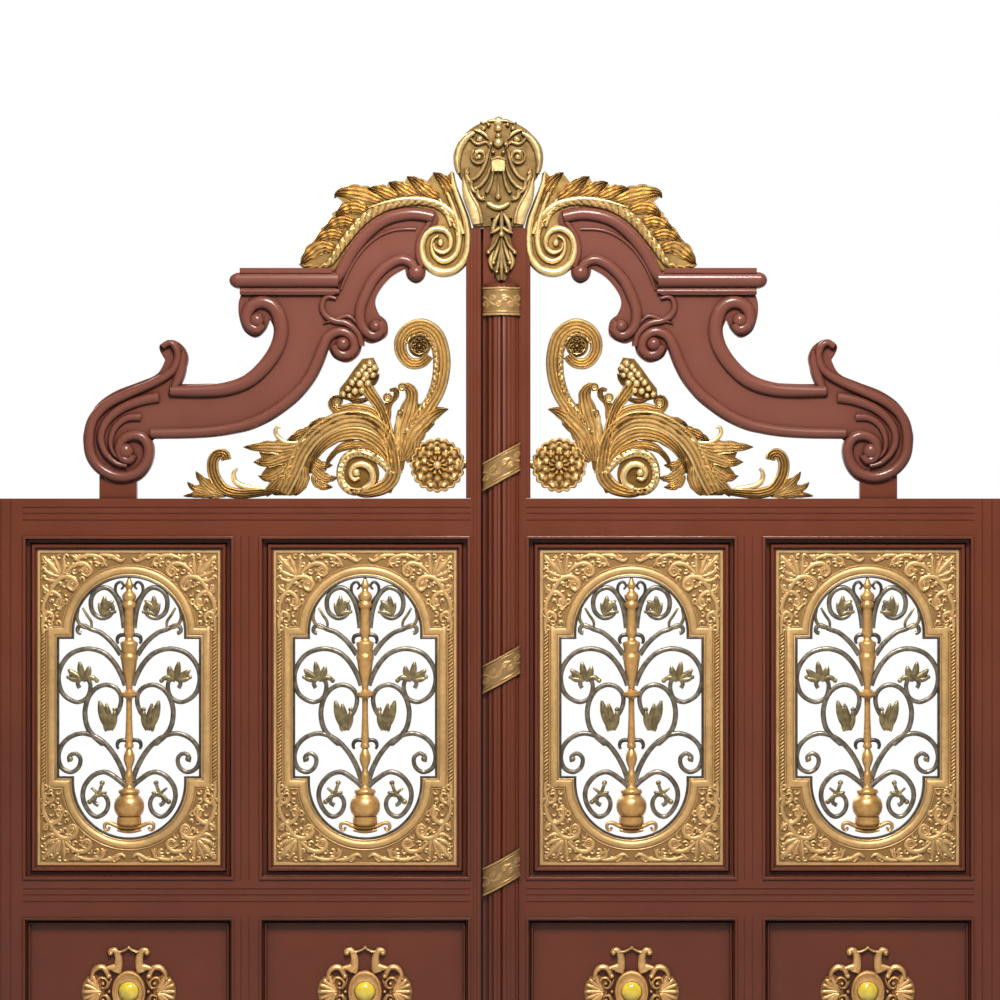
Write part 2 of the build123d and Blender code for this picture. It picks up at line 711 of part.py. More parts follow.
def bolt_rod(length):
    """Upright rod with a knob towards the back, half way up."""
    with BuildPart() as rod:
        Cylinder(bolt_radius, length, align=(Align.CENTER, Align.CENTER, Align.MIN))
        with Locations((0, knob_length / 2, length / 2)):
            Cylinder(knob_radius, knob_length, rotation=(90, 0, 0))
    return rod.part


def leaf_framing(name, side, meeting_from):
    """Stiles, mullions and rails of one leaf."""
    upright(f"{name}_outer_stile", side * (leaf_reach + stile_inner) / 2, outer_stile_width,
            leaf_bottom, leaf_top, open_top=False)
    meeting_to = side * meeting_reach
    upright(f"{name}_meeting_stile", (meeting_from + meeting_to) / 2, abs(meeting_to - meeting_from),
            leaf_bottom, leaf_top + meeting_rise, open_top=False)
    upright(f"{name}_lower_mullion", side * mullion_centre, mullion_width,
            lower_opening_bottom, mid_rail_bottom)
    upright(f"{name}_upper_mullion", side * mullion_centre, mullion_width,
            upper_opening_bottom, top_rail_bottom)
    start, end = sorted((side * meeting_reach, side * stile_inner))
    crossbar(f"{name}_bottom_rail", start, end, leaf_bottom)
    crossbar(f"{name}_mid_rail", start, end, mid_rail_bottom)
    crossbar(f"{name}_top_rail", start, end, top_rail_bottom)


def leaf_panels(name, side):
    """The outer and inner panel of one leaf, each with its moulding and castings."""
    for place, centre in (("inner", inner_panel_centre), ("outer", outer_panel_centre)):
        for piece, shape, height in panel_pieces:
            with BuildPart() as panel_piece:
                with Locations((side * centre, 0, height)):
                    add(shape)
            keep(panel_piece, f"{name}_{place}_{piece}")


def leaf_crest(name, side):
    """Crest, its foot and the gilt castings on top of one leaf."""
    with BuildPart() as crest:
        add(crest_casting(side))
    keep(crest, f"{name}_crest")
    keep(crest_foot_post(side), f"{name}_crest_foot")
    keep(acanthus_casting(side), f"{name}_crest_acanthus")
    keep(spandrel_casting(side), f"{name}_spandrel_scroll")


def leaf_hardware(name, side, drop_x):
    """Hinge knuckles, bolt guides and drop bolt on the back of one leaf."""
    with BuildPart() as knuckles:
        for height in hinge_heights:
            with Locations((side * hinge_x, hinge_y, 0)):
                add(knuckle(-side, height + hinge_end_gap, hinge_half_length - hinge_end_gap,
                            hinge_pin_radius + hinge_running_gap))
    keep(knuckles, f"{name}_leaf_knuckles")
    with BuildPart() as guides:
        for share in (0.2, 0.8):
            with Locations((drop_x, bolt_y, drop_bolt_rest + share * drop_bolt_length)):
                add(bolt_guide())
        for x in slide_guides[name]:
            with Locations((x, bolt_y, slide_bolt_height)):
                add(bolt_guide(along_x=True))
    keep(guides, f"{name}_bolt_guides")
    with BuildPart() as drop_bolt:
        with Locations((drop_x, bolt_y, drop_bolt_rest)):
            add(bolt_rod(drop_bolt_length))
    keep(drop_bolt, f"{name}_drop_bolt")


def column_section(grow=0):
    """Front half of the column in plan, standing on the face of the meeting stile."""
    with BuildSketch() as section:
        with Locations((column_centre, column_axis_y)):
            Circle(column_radius + grow)
        with Locations((column_centre, half_depth)):
            Rectangle(4 * column_radius, 2 * leaf_depth, mode=Mode.SUBTRACT)
    return section.sketch


def fluted_column():
    """Fluted half column over the whole height of the right meeting stile."""
    with BuildPart() as column:
        with BuildSketch(Plane.XY.offset(leaf_bottom)):
            add(column_section())
            with Locations((column_centre, column_axis_y)):
                with PolarLocations(column_radius + 1, flute_count, start_angle=-140,
                                    angular_range=100, endpoint=True):
                    Circle(flute_radius, mode=Mode.SUBTRACT)
        extrude(amount=leaf_top + column_top - leaf_bottom)
    return column


def column_band(centre_height, slope):
    """One gilt band round the column, rising to the right by the slope."""
    width = 2 * column_radius
    middle = leaf_top + centre_height
    corners = [(x, middle + edge * band_height / 2 + slope * (x - column_centre))
               for x, edge in ((column_centre - width, -1), (column_centre + width, -1),
                               (column_centre + width, 1), (column_centre - width, 1))]
    with BuildPart() as band:
        with BuildSketch(Plane.XY.offset(middle - 2 * band_height)):
            add(column_section(band_thickness))
            add(column_section(), mode=Mode.SUBTRACT)
        extrude(amount=4 * band_height)
        with BuildSketch(Plane.XZ.offset(-leaf_depth)):
            Polygon(*corners, align=None)
        extrude(amount=4 * leaf_depth, mode=Mode.INTERSECT)
    return band.part


def cartouche_casting():
    """Gilt top ornament: round body with shell, eyes and crown, and side plates."""
    foot = leaf_top + meeting_rise
    centre = leaf_top + cartouche_height
    front = half_depth + cartouche_thickness
    reach = cartouche_radius
    with BuildSketch() as relief:
        with Locations((0, centre)):
            Circle(reach * 0.84)
            Rectangle(reach * 0.9, 60, align=(Align.CENTER, Align.MIN))
        with Locations((0, centre + reach * 0.93)):
            Ellipse(reach * 0.36, reach * 0.14)
    with BuildSketch() as shell:
        for angle in range(-66, 67, 22):
            fan = [(length * sin(radians(angle)), centre - 20 - length * cos(radians(angle)))
                   for length in (30, 80, 132)]
            add(stroke(fan, 8, 22, 26))
        for side in (-1, 1):
            with Locations((side * reach * 0.44, centre + 4)):
                Circle(reach * 0.19)
            with Locations((side * reach * 0.46, centre + reach * 0.5)):
                Circle(reach * 0.11)
        with Locations((0, centre + reach * 0.62)):
            Ellipse(reach * 0.15, reach * 0.2)
        with Locations((0, centre - 16)):
            Rectangle(48, 50)
    with BuildPart() as casting:
        with BuildSketch(Plane.XZ.offset(-half_depth / 2)):
            add(cartouche_outline())
            with Locations((leaf_split + leaf_gap - opening_width / 2, foot)):
                Rectangle(opening_width, 2 * leaf_clearance, mode=Mode.SUBTRACT)
        extrude(amount=front + half_depth / 2)
        with BuildSketch(Plane.XZ.offset(front)):
            add(relief.sketch)
        extrude(amount=relief_step)
        with BuildSketch(Plane.XZ.offset(front)):
            add(shell.sketch)
        extrude(amount=2 * relief_step)
    return casting


def pendant_casting():
    """Gilt leaf that hangs under the top ornament, on the stile above the column."""
    bottom = leaf_top + column_top
    foot = leaf_top + meeting_rise
    middle = column_centre
    with BuildPart() as casting:
        with BuildSketch(Plane.XZ.offset(half_depth)):
            for x, z, end_x, end_z in pendant_drops:
                for side in (-1, 1):
                    run = [(middle + side * x * 0.3, foot + 10), (middle + side * x, leaf_top + z),
                           (middle + side * end_x, leaf_top + end_z)]
                    add(stroke(run, 30, 26, 18))
            with Locations((middle, foot - 20)):
                Ellipse(44, 66)
            with Locations((middle, (bottom + foot - casting_gap) / 2)):
                Rectangle(pendant_width, foot - casting_gap - bottom, mode=Mode.INTERSECT)
        extrude(amount=cartouche_thickness + relief_step)
    return casting.part


# Frame
for side, name in ((-1, "left"), (1, "right")):
    jamb(f"{name}_jamb", side)

with BuildPart() as threshold:
    with Locations((0, threshold_centre_y, threshold_height / 2)):
        Box(opening_width, threshold_depth, threshold_height)
    for x in drop_bolt_x.values():
        with Locations((x, bolt_y, threshold_height)):
            Hole(bolt_radius + 3 * bolt_running_gap)
keep(threshold, "threshold")

with BuildPart() as hinge_pins:
    for side in (-1, 1):
        for height in hinge_heights:
            with Locations((side * hinge_x, hinge_y, height)):
                Cylinder(hinge_pin_radius, 2 * hinge_half_length)
keep(hinge_pins, "hinge_pins")

# Leaves
panel_pieces = (
    ("bead", bead_ring(panel_opening, upper_opening_height), upper_centre),
    ("surround", surround_panel(), upper_centre),
    ("grille", grille_casting(), upper_centre),
    ("lower_panel", bead_ring(panel_opening, lower_opening_height, plate_thickness), lower_centre),
    ("medallion", medallion_casting(), lower_centre),
    ("boss", boss_dome(), lower_centre),
)
for side, name in ((-1, "left"), (1, "right")):
    leaf_framing(name, side, leaf_split + side * leaf_gap / 2)
    leaf_panels(name, side)
    leaf_crest(name, side)
    leaf_hardware(name, side, drop_bolt_x[name])

# Right leaf's own pieces
keep(fluted_column(), "column")
with BuildPart() as column_bands:
    add(column_band(straight_band_height, 0))
    for step in range(band_count):
        add(column_band(first_band_height - step * band_pitch, band_slope))
    add(pendant_casting())
keep(column_bands, "column_bands")
keep(cartouche_casting(), "cartouche")
with BuildPart() as slide_bolt:
    with Locations((slide_bolt_start, bolt_y, slide_bolt_height)):
        add(bolt_rod(slide_bolt_length).rotate(Axis.Y, 90))
keep(slide_bolt, "slide_bolt")
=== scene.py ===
"""Dress the ornamental double gate: castings, mouldings, gilding, paint and a plain studio.

Metres. Outlines are kept in millimetres, as distances from the gate's centreline and heights
over the leaf, so one outline serves both leaves, and mm() turns them into metres.
"""
import json
from math import atan2, cos, hypot, pi, radians, sin, sqrt

import bmesh
import bpy
import numpy as np
from bpy.props import FloatProperty, FloatVectorProperty, IntProperty, PointerProperty
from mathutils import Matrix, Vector
from mathutils.geometry import tessellate_polygon


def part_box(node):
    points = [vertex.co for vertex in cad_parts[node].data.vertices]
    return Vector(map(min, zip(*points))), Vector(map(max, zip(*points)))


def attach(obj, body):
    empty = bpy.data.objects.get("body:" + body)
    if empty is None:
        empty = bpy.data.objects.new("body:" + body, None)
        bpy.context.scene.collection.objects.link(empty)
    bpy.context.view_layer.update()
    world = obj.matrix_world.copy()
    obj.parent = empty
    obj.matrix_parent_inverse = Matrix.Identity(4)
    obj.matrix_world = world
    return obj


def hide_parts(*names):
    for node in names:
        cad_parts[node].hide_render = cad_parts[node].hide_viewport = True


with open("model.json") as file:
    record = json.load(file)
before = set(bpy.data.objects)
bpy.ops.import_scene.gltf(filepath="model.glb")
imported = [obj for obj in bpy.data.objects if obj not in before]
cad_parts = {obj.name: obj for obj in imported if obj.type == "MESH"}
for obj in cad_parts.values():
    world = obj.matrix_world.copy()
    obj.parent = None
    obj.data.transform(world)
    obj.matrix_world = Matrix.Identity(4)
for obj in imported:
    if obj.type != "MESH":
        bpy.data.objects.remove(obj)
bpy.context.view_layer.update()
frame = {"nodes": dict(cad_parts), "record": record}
NODES = frame["nodes"]
SIDES = (("left", -1), ("right", 1))
PLACES = ("inner", "outer")

bl_info = {
    "name": "Ornamental Double Gate",
    "version": (1, 0, 0),
    "blender": (4, 5, 0),
    "location": "3D View > Sidebar > Gate",
    "description": "Dresses the packed gate with its castings, mouldings, gilding and paint",
    "category": "Object",
}


def mm(value):
    """Millimetres as metres."""
    return value * 0.001


def span(node):
    """Lowest and highest corner of a CAD node, as arrays."""
    low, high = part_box(node)
    return np.array(low), np.array(high)


LEAF_TOP = span("left_top_rail")[1][2]
LEAF_REACH = span("right_outer_stile")[1][0]
MEETING_REACH = span("right_meeting_stile")[1][0]
DRAWN_REACH, DRAWN_MEETING = 2023, 111
CREST_STRETCH = (LEAF_REACH * 1000 - DRAWN_MEETING) / (DRAWN_REACH - DRAWN_MEETING)
HALF_LEAF = span("left_top_rail")[1][1]


# Sizes and colours that a user would change

def length(name, default, text):
    """A length in metres for the sidebar."""
    return FloatProperty(name=name, description=text, default=default, min=0.0, unit="LENGTH",
                         precision=4)


def count(name, default, text):
    """A whole number for the sidebar."""
    return IntProperty(name=name, description=text, default=default, min=1)


def colour(name, default, text):
    """A linear colour for the sidebar."""
    return FloatVectorProperty(name=name, description=text, default=default, subtype="COLOR",
                               size=3, min=0.0, max=1.0)


class GateSizes(bpy.types.PropertyGroup):
    """Sizes of what repeats on the gate"""
    bar_radius: length("Scroll Bar Radius", 0.0115, "Radius of the dark scroll bars of the grilles")
    bar_sides: count("Scroll Bar Sides", 10, "Number of faces round a scroll bar")
    rope_pitch: length("Rope Pitch", 0.014, "Distance between two leaves of the twisted border")
    rope_leaf: length("Rope Leaf", 0.0125, "Half length of one leaf of the twisted border")
    curl_pitch: length("Curl Pitch", 0.029, "Distance between two small curls of the corner carving")
    petal_count: count("Rosette Petals", 10, "Petals of the large rosette beside the column")
    stem_sides: count("Stem Sides", 24, "Number of faces round the turned stems")
    carving_seed: count("Carving Seed", 7, "Seed that places the small curls of the carving")


class GateColours(bpy.types.PropertyGroup):
    """Colours of the gate's finishes and of the studio"""
    paint: colour("Paint", (0.114, 0.0285, 0.0138), "Reddish brown paint of the framing")
    # Painted sheen: the crests get a lighter, greyer paint that stands in for the light falling on them from
    # above.
    paint_crest: colour("Crest Paint", (0.135, 0.044, 0.030), "Paint of the crests, lighter and greyer as a painted sheen from above")
    # Painted shade: the colour the paint takes in its grooves and recesses.
    paint_deep: colour("Deep Paint", (0.040, 0.008, 0.003), "Paint in the grooves and recesses")
    gilt: colour("Gilt", (0.83, 0.59, 0.265), "Gilding on the raised parts")
    # Painted shade with patina: the brown that the gilt finishes lay in recesses and on low flanks.
    gilt_deep: colour("Deep Gilt", (0.19, 0.098, 0.020), "Gilding in the recesses")
    tan: colour("Tan Gilt", (0.52, 0.318, 0.125), "Gilding of the panels and bands")
    # Painted shade with patina, as for the gilt.
    tan_deep: colour("Deep Tan Gilt", (0.26, 0.14, 0.045), "Recesses of the panels and bands")
    rose: colour("Rose Gilt", (0.70, 0.40, 0.155), "Gilding of the medallions")
    # Painted shade with patina, as for the gilt.
    rose_deep: colour("Deep Rose Gilt", (0.17, 0.075, 0.016), "Recesses of the medallions")
    copper: colour("Copper Gilt", (0.58, 0.325, 0.112), "Gilding of the turned stems")
    bronze: colour("Bronze", (0.052, 0.040, 0.022), "Dark bronze of the scroll bars")
    bronze_worn: colour("Worn Bronze", (0.25, 0.205, 0.15), "Rubbed bronze on the edges")
    leaf: colour("Grille Leaf", (0.078, 0.056, 0.020), "Olive bronze of the grilles' leaves")
    leaf_worn: colour("Worn Grille Leaf", (0.37, 0.275, 0.12), "Rubbed edges of the grilles' leaves")
    # Painted shadow: the rims are near black to stand for the shadow round the openings' inner edge; the
    # hooks share the colour and are dark themselves.
    rim: colour("Grille Rim", (0.020, 0.016, 0.012), "Near black bronze of the grilles' rims and hooks, painting the shadow round the openings")
    rim_worn: colour("Worn Grille Rim", (0.10, 0.08, 0.06), "Rubbed edges of the rims and hooks")
    amber: colour("Amber", (0.68, 0.50, 0.045), "Glossy bosses of the medallions")
    steel: colour("Steel", (0.44, 0.45, 0.46), "Hinges and bolts")
    floor: colour("Floor", (0.36, 0.355, 0.35), "Studio floor")


# Modelling kit

def smooth_path(points, step):
    """Even points along a smooth curve through the given points."""
    points = np.asarray(points, float)
    chord = np.maximum(np.linalg.norm(np.diff(points, axis=0), axis=1), 1e-9)
    at = np.concatenate(([0], np.cumsum(chord)))
    slope = np.empty_like(points)
    slope[1:-1] = (points[2:] - points[:-2]) / (at[2:] - at[:-2])[:, None]
    first, last = (points[1] - points[0]) / chord[0], (points[-1] - points[-2]) / chord[-1]
    bent = len(points) > 2
    slope[0] = 1.5 * first - 0.5 * slope[1] if bent else first
    slope[-1] = 1.5 * last - 0.5 * slope[-2] if bent else last
    fine = []
    share = np.linspace(0, 1, 17)[:-1, None]
    leave, arrive = share**3 - 2 * share**2 + share, share**3 - share**2
    blend = 3 * share**2 - 2 * share**3
    for k, run in enumerate(chord):
        fine.append((1 - blend) * points[k] + leave * run * slope[k] + blend * points[k + 1]
                    + arrive * run * slope[k + 1])
    fine = np.vstack(fine + [points[-1:]])
    travelled = np.concatenate(([0], np.cumsum(np.linalg.norm(np.diff(fine, axis=0), axis=1))))
    steps = max(int(round(travelled[-1] / step)), 4)
    even = np.linspace(0, travelled[-1], steps + 1)
    return np.column_stack([np.interp(even, travelled, fine[:, k]) for k in range(2)])


def spiral(centre, start_radius, end_radius, start_angle, turns):
    """Points on a spiral that winds inwards."""
    share = np.linspace(0, 1, max(int(abs(turns) * 9), 4) + 1)
    radius = start_radius + (end_radius - start_radius) * share
    angle = start_angle + 2 * pi * turns * share
    return np.column_stack([centre[0] + radius * np.cos(angle), centre[1] + radius * np.sin(angle)])


def mirrored(points, hand, up=1):
    """Drawn points flipped across or up."""
    return [(hand * x, up * z) for x, z in points]


def widths_along(path, start, belly, end):
    """Half widths that pass through the start, middle and end width."""
    share = np.linspace(0, 1, len(path))
    return (start * (1 - share) * (1 - 2 * share) + 4 * belly * share * (1 - share)
            + end * share * (2 * share - 1)) / 2


# Cross sections: across runs from -1 to 1, run counts the beats along, and the result is 0 to 1

def round_section(across, run):
    """Half round."""
    return np.sqrt(np.clip(1 - across**2, 0, 1))


def fluted_section(across, run):
    """Flat round with four grooves along it."""
    grooves = np.exp(-(np.sin(across * 2 * pi) / 0.42) ** 2)
    return np.sqrt(np.clip(1 - across**4, 0, 1)) * (1 - 0.66 * grooves)


def leaf_section(across, run):
    """Leaf with two veins on each side and beats along it."""
    wide = np.abs(across)
    grooves = np.exp(-((wide - 0.26) / 0.1) ** 2) + np.exp(-((wide - 0.7) / 0.1) ** 2)
    beat = np.abs(np.sin(pi * (run - 0.6 * wide)))
    return np.clip(1 - wide**6, 0, 1) * np.clip(0.86 - 0.56 * grooves + 0.14 * beat - 0.1 * wide, 0.05, 1)


def rope_section(across, run):
    """Half round with slanting beats."""
    return round_section(across, run) * (0.2 + 0.8 * np.abs(np.sin(pi * (run + 0.6 * across))))


def dome(share, angle):
    """Half ball, as a height at a share of the radius."""
    return np.sqrt(np.clip(1 - share**2, 0, 1)) + 0 * angle


# Every shape keeps a relief from 0 to 1; the finishes that read it lay painted shade on the low parts.
class Casting:
    """Gathers closed shapes, alike on both faces of the leaf, into one mesh."""

    def __init__(self, centre=(0, 0), side=1, two_faced=True, back=0.0):
        self.points, self.faces, self.relief = [], [], []
        self.size = 0
        self.centre = np.array(centre, float)
        self.side = side
        self.two_faced = two_faced
        self.back = back

    def put(self, points, faces, relief):
        """Add one closed shape."""
        self.points.append(np.asarray(points, float))
        self.faces.extend([tuple(i + self.size for i in face) for face in faces])
        self.relief.append(np.asarray(relief, float))
        self.size += len(points)

    def place(self, flat):
        """Millimetres in the drawing as metres across and up."""
        flat = np.asarray(flat, float)
        return np.column_stack([self.centre[0] + self.side * mm(flat[:, 0]),
                                self.centre[1] + mm(flat[:, 1])])

    def two_sides(self, flat, depth):
        """Front points at a depth in metres, then the same points on the back."""
        back = depth if self.two_faced else np.full(len(depth), self.back)
        return np.vstack([np.column_stack([flat[:, 0], -depth, flat[:, 1]]),
                          np.column_stack([flat[:, 0], back, flat[:, 1]])])

    def ribbon(self, points, widths, base, rise, step=6.0, across=8, section=round_section, beats=0,
               lobes=0.0, taper=0.0):
        """Strip along the points: base is its edge's distance from the middle, rise its swell."""
        path = smooth_path(points, step)
        half = np.maximum(widths_along(path, *widths), 0.6)
        total = len(path)
        share = np.linspace(0, 1, total)
        run = share * beats if beats else share
        if lobes:
            half = half * (1 - lobes + lobes * np.abs(np.sin(pi * run)) ** 0.6)
        along = np.gradient(path, axis=0)
        along /= np.maximum(np.linalg.norm(along, axis=1), 1e-9)[:, None]
        normal = np.column_stack([-along[:, 1], along[:, 0]])
        offsets = np.sin(np.linspace(-pi / 2, pi / 2, across + 1))
        height = np.clip(section(np.tile(offsets, (total, 1)), np.repeat(run[:, None], across + 1, axis=1)),
                         0, None)
        swell = np.ones(total)
        if taper:
            swell = np.clip(np.minimum(share, 1 - share) / taper, 0.15, 1) ** 0.5
        front = base + rise * swell[:, None] * height
        flat = path[:, None, :] + normal[:, None, :] * (half[:, None] * offsets[None, :])[:, :, None]
        points = self.two_sides(self.place(flat.reshape(-1, 2)), mm(front.reshape(-1)))
        width = across + 1
        shift = total * width
        faces = []
        for k in range(total - 1):
            for j in range(across):
                a = k * width + j
                faces.append((a, a + 1, a + width + 1, a + width))
                faces.append((a + shift, a + width + shift, a + width + 1 + shift, a + 1 + shift))
            a, b = k * width, k * width + across
            faces.append((a, a + width, a + width + shift, a + shift))
            faces.append((b, b + shift, b + width + shift, b + width))
        for k in (0, total - 1):
            for j in range(across):
                a = k * width + j
                faces.append((a, a + shift, a + 1 + shift, a + 1))
        self.put(points, faces, np.tile(height.reshape(-1), 2))

    def disc(self, centre, radius, base, rise, height_at, rings=6, spokes=28, edge_at=np.ones_like):
        """Round boss whose height follows height_at(share of radius, angle)."""
        angle = np.linspace(0, 2 * pi, spokes, endpoint=False)
        shares = np.sin(np.linspace(pi / 2, 0, rings + 1))[:-1]
        edge = edge_at(angle)
        flat, height = [], []
        for share in shares:
            flat.append(np.column_stack([centre[0] + radius * share * edge * np.cos(angle),
                                         centre[1] + radius * share * edge * np.sin(angle)]))
            height.append(np.clip(height_at(share, angle), 0, None))
        flat = np.vstack(flat + [np.array([centre], float)])
        height = np.concatenate(height + [np.array([float(np.max(height_at(0.0, angle)))])])
        shift = len(flat)
        faces = []
        for k in range(rings - 1):
            for j in range(spokes):
                a, b = k * spokes + j, k * spokes + (j + 1) % spokes
                faces.append((a, b, b + spokes, a + spokes))
                faces.append((a + shift, a + spokes + shift, b + spokes + shift, b + shift))
        middle = rings * spokes
        for j in range(spokes):
            a, b = (rings - 1) * spokes + j, (rings - 1) * spokes + (j + 1) % spokes
            faces.append((a, b, middle))
            faces.append((a + shift, middle + shift, b + shift))
            faces.append((j, j + shift, (j + 1) % spokes + shift, (j + 1) % spokes))
        self.put(self.two_sides(self.place(flat), mm(base + rise * height)), faces, np.tile(height, 2))

    def ball(self, centre, radius, base, rise, rings=5, spokes=18):
        """Rounded boss."""
        self.disc(centre, radius, base, rise, dome, rings, spokes)

    # A plate's relief sets how much painted shade the relief-reading finishes lay on it: a low value paints
    # it as shaded ground.
    def plate(self, outer, holes, depth, relief=0.0):
        """Flat plate of even depth with holes."""
        loops = [self.place(loop) for loop in [outer] + list(holes)]
        flat = np.vstack(loops)
        triangles = tessellate_polygon([[Vector((x, z, 0)) for x, z in loop] for loop in loops])
        shift = len(flat)
        faces = []
        for a, b, c in triangles:
            faces.append((a, b, c))
            faces.append((a + shift, c + shift, b + shift))
        start = 0
        for loop in loops:
            for j in range(len(loop)):
                a, b = start + j, start + (j + 1) % len(loop)
                faces.append((a, a + shift, b + shift, b))
            start += len(loop)
        self.put(self.two_sides(flat, np.full(shift, mm(depth))), faces, np.full(2 * shift, relief))

    def ring(self, outline_at, profile):
        """Moulding round a closed outline: profile lists (offset, depth) pairs in millimetres."""
        loops = [self.place(outline_at(offset)) for offset, _ in profile]
        around = len(loops[0])
        depths = [depth for _, depth in profile]
        low, high = min(depths), max(depths)
        points, relief = [], []
        for sign in ((-1, 1) if self.two_faced else (-1,)):
            for loop, depth in zip(loops, depths):
                points.append(np.column_stack([loop[:, 0], np.full(around, sign * mm(depth)), loop[:, 1]]))
                relief.append(np.full(around, (depth - low) / max(high - low, 1e-6)))
        total = len(profile)
        order = list(range(total))
        if self.two_faced:
            order += [2 * total - 1 - k for k in range(total)]
        faces = []
        for k, line in enumerate(order):
            following = order[(k + 1) % len(order)]
            for j in range(around):
                a, b = line * around + j, line * around + (j + 1) % around
                c, d = following * around + (j + 1) % around, following * around + j
                faces.append((a, b, c, d))
        self.put(np.vstack(points), faces, np.concatenate(relief))

    def lathe(self, profile, sides):
        """Turned piece round the upright middle: profile lists (height, radius) pairs."""
        angle = np.linspace(0, 2 * pi, sides, endpoint=False)
        biggest = max(radius for _, radius in profile)
        points, relief = [], []
        for height, radius in profile:
            flat = self.place(np.column_stack([radius * np.cos(angle), np.full(sides, height)]))
            points.append(np.column_stack([flat[:, 0], mm(radius) * np.sin(angle), flat[:, 1]]))
            relief.append(np.full(sides, 0.35 + 0.65 * radius / biggest))
        faces = []
        for k in range(len(profile) - 1):
            for j in range(sides):
                a, b = k * sides + j, k * sides + (j + 1) % sides
                faces.append((a, b, b + sides, a + sides))
        faces.append(tuple(range(sides)))
        faces.append(tuple(range((len(profile) - 1) * sides, len(profile) * sides)))
        self.put(np.vstack(points), faces, np.concatenate(relief))

    def finish(self, name, finish, body, slot, nodes=(), smooth=40):
        """Make the gathered shapes one object that rides on a body."""
        return object_from(name, np.vstack(self.points), self.faces, np.concatenate(self.relief),
                           finish, body, nodes, smooth)


def object_from(name, points, faces, relief, finish, body, nodes=(), smooth=40):
    """A finished piece from points and faces, with its relief as an attribute."""
    mesh = bpy.data.meshes.new(name)
    mesh.from_pydata([tuple(p) for p in points], [], faces)
    attribute = mesh.attributes.new("relief", "FLOAT", "POINT")
    attribute.data.foreach_set("value", np.asarray(relief, np.float32))
    work = bmesh.new()
    work.from_mesh(mesh)
    bmesh.ops.recalc_face_normals(work, faces=work.faces)
    work.to_mesh(mesh)
    work.free()
    mesh.materials.append(bpy.data.materials[finish])
    mesh.shade_smooth()
    mesh.set_sharp_from_angle(angle=radians(smooth))
    piece = bpy.data.objects.new(name, mesh)
    bpy.context.scene.collection.objects.link(piece)
    return carried(piece, body, nodes)


def carried(piece, body, nodes):
    """Let a piece ride on a body, in place of CAD nodes."""
    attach(piece, body)
    if nodes:
        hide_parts(*nodes)
    return piece


# Geometry Nodes

def add_node(tree, kind, links, settings):
    """Add a node to a tree; links pair its input sockets with what feeds them."""
    node = tree.nodes.new(kind)
    for key, value in settings.items():
        setattr(node, key, value)
    for socket, source in links:
        target = node.inputs[socket]
        if isinstance(source, bpy.types.NodeSocket):
            tree.links.new(source, target)
        else:
            target.default_value = source
    return node


class Tree:
    """A geometry node tree with named inputs, applied to one object and then made a mesh."""

    def __init__(self, name, inputs):
        self.group = bpy.data.node_groups.new(name, "GeometryNodeTree")
        self.group.interface.new_socket("Geometry", in_out="INPUT", socket_type="NodeSocketGeometry")
        kinds = {float: "NodeSocketFloat", int: "NodeSocketInt", bpy.types.Material: "NodeSocketMaterial"}
        self.keys = {}
        for label, value in inputs.items():
            kind = bpy.types.Material if isinstance(value, bpy.types.Material) else type(value)
            socket = self.group.interface.new_socket(label, in_out="INPUT", socket_type=kinds[kind])
            self.keys[label] = socket.identifier
        self.group.interface.new_socket("Geometry", in_out="OUTPUT", socket_type="NodeSocketGeometry")
        self.values = inputs
        self.start = self.group.nodes.new("NodeGroupInput")
        self.end = self.group.nodes.new("NodeGroupOutput")

    def node(self, kind, links=(), **settings):
        """Add a node; links pair its input sockets with what feeds them."""
        return add_node(self.group, kind, links, settings)

    def given(self, label):
        """Output socket of a named input."""
        return self.start.outputs[label]

    def close(self, geometry):
        """End the tree with real geometry in its finish."""
        real = self.node("GeometryNodeRealizeInstances", [("Geometry", geometry)])
        done = self.node("GeometryNodeSetMaterial", [("Geometry", real.outputs[0]),
                                                     ("Material", self.given("Finish"))])
        self.group.links.new(done.outputs[0], self.end.inputs[0])

    def run(self, name, points, edges, attributes, body, slot, nodes=()):
        """Apply the tree to a wire mesh and keep the result as a plain mesh."""
        wire = bpy.data.meshes.new(name)
        wire.from_pydata([tuple(p) for p in points], edges, [])
        for label, values in attributes.items():
            layer = wire.attributes.new(label, "FLOAT", "POINT")
            layer.data.foreach_set("value", np.asarray(values, np.float32))
        piece = bpy.data.objects.new(name, wire)
        bpy.context.scene.collection.objects.link(piece)
        modifier = piece.modifiers.new("Shape", "NODES")
        modifier.node_group = self.group
        for label, value in self.values.items():
            modifier[self.keys[label]] = value
        graph = bpy.context.evaluated_depsgraph_get()
        graph.update()
        mesh = bpy.data.meshes.new_from_object(piece.evaluated_get(graph))
        piece.modifiers.remove(modifier)
        piece.data = mesh
        mesh.name = name
        if not mesh.polygons:
            raise RuntimeError(f"the node tree made no faces for {name}")
        return carried(piece, body, nodes)


def wires(paths):
    """Points and edges of several open paths given as (x, y, z) rows."""
    points, edges = [], []
    for path in paths:
        start = len(points)
        points.extend(path)
        edges.extend((start + k, start + k + 1) for k in range(len(path) - 1))
    return points, edges


# Finishes

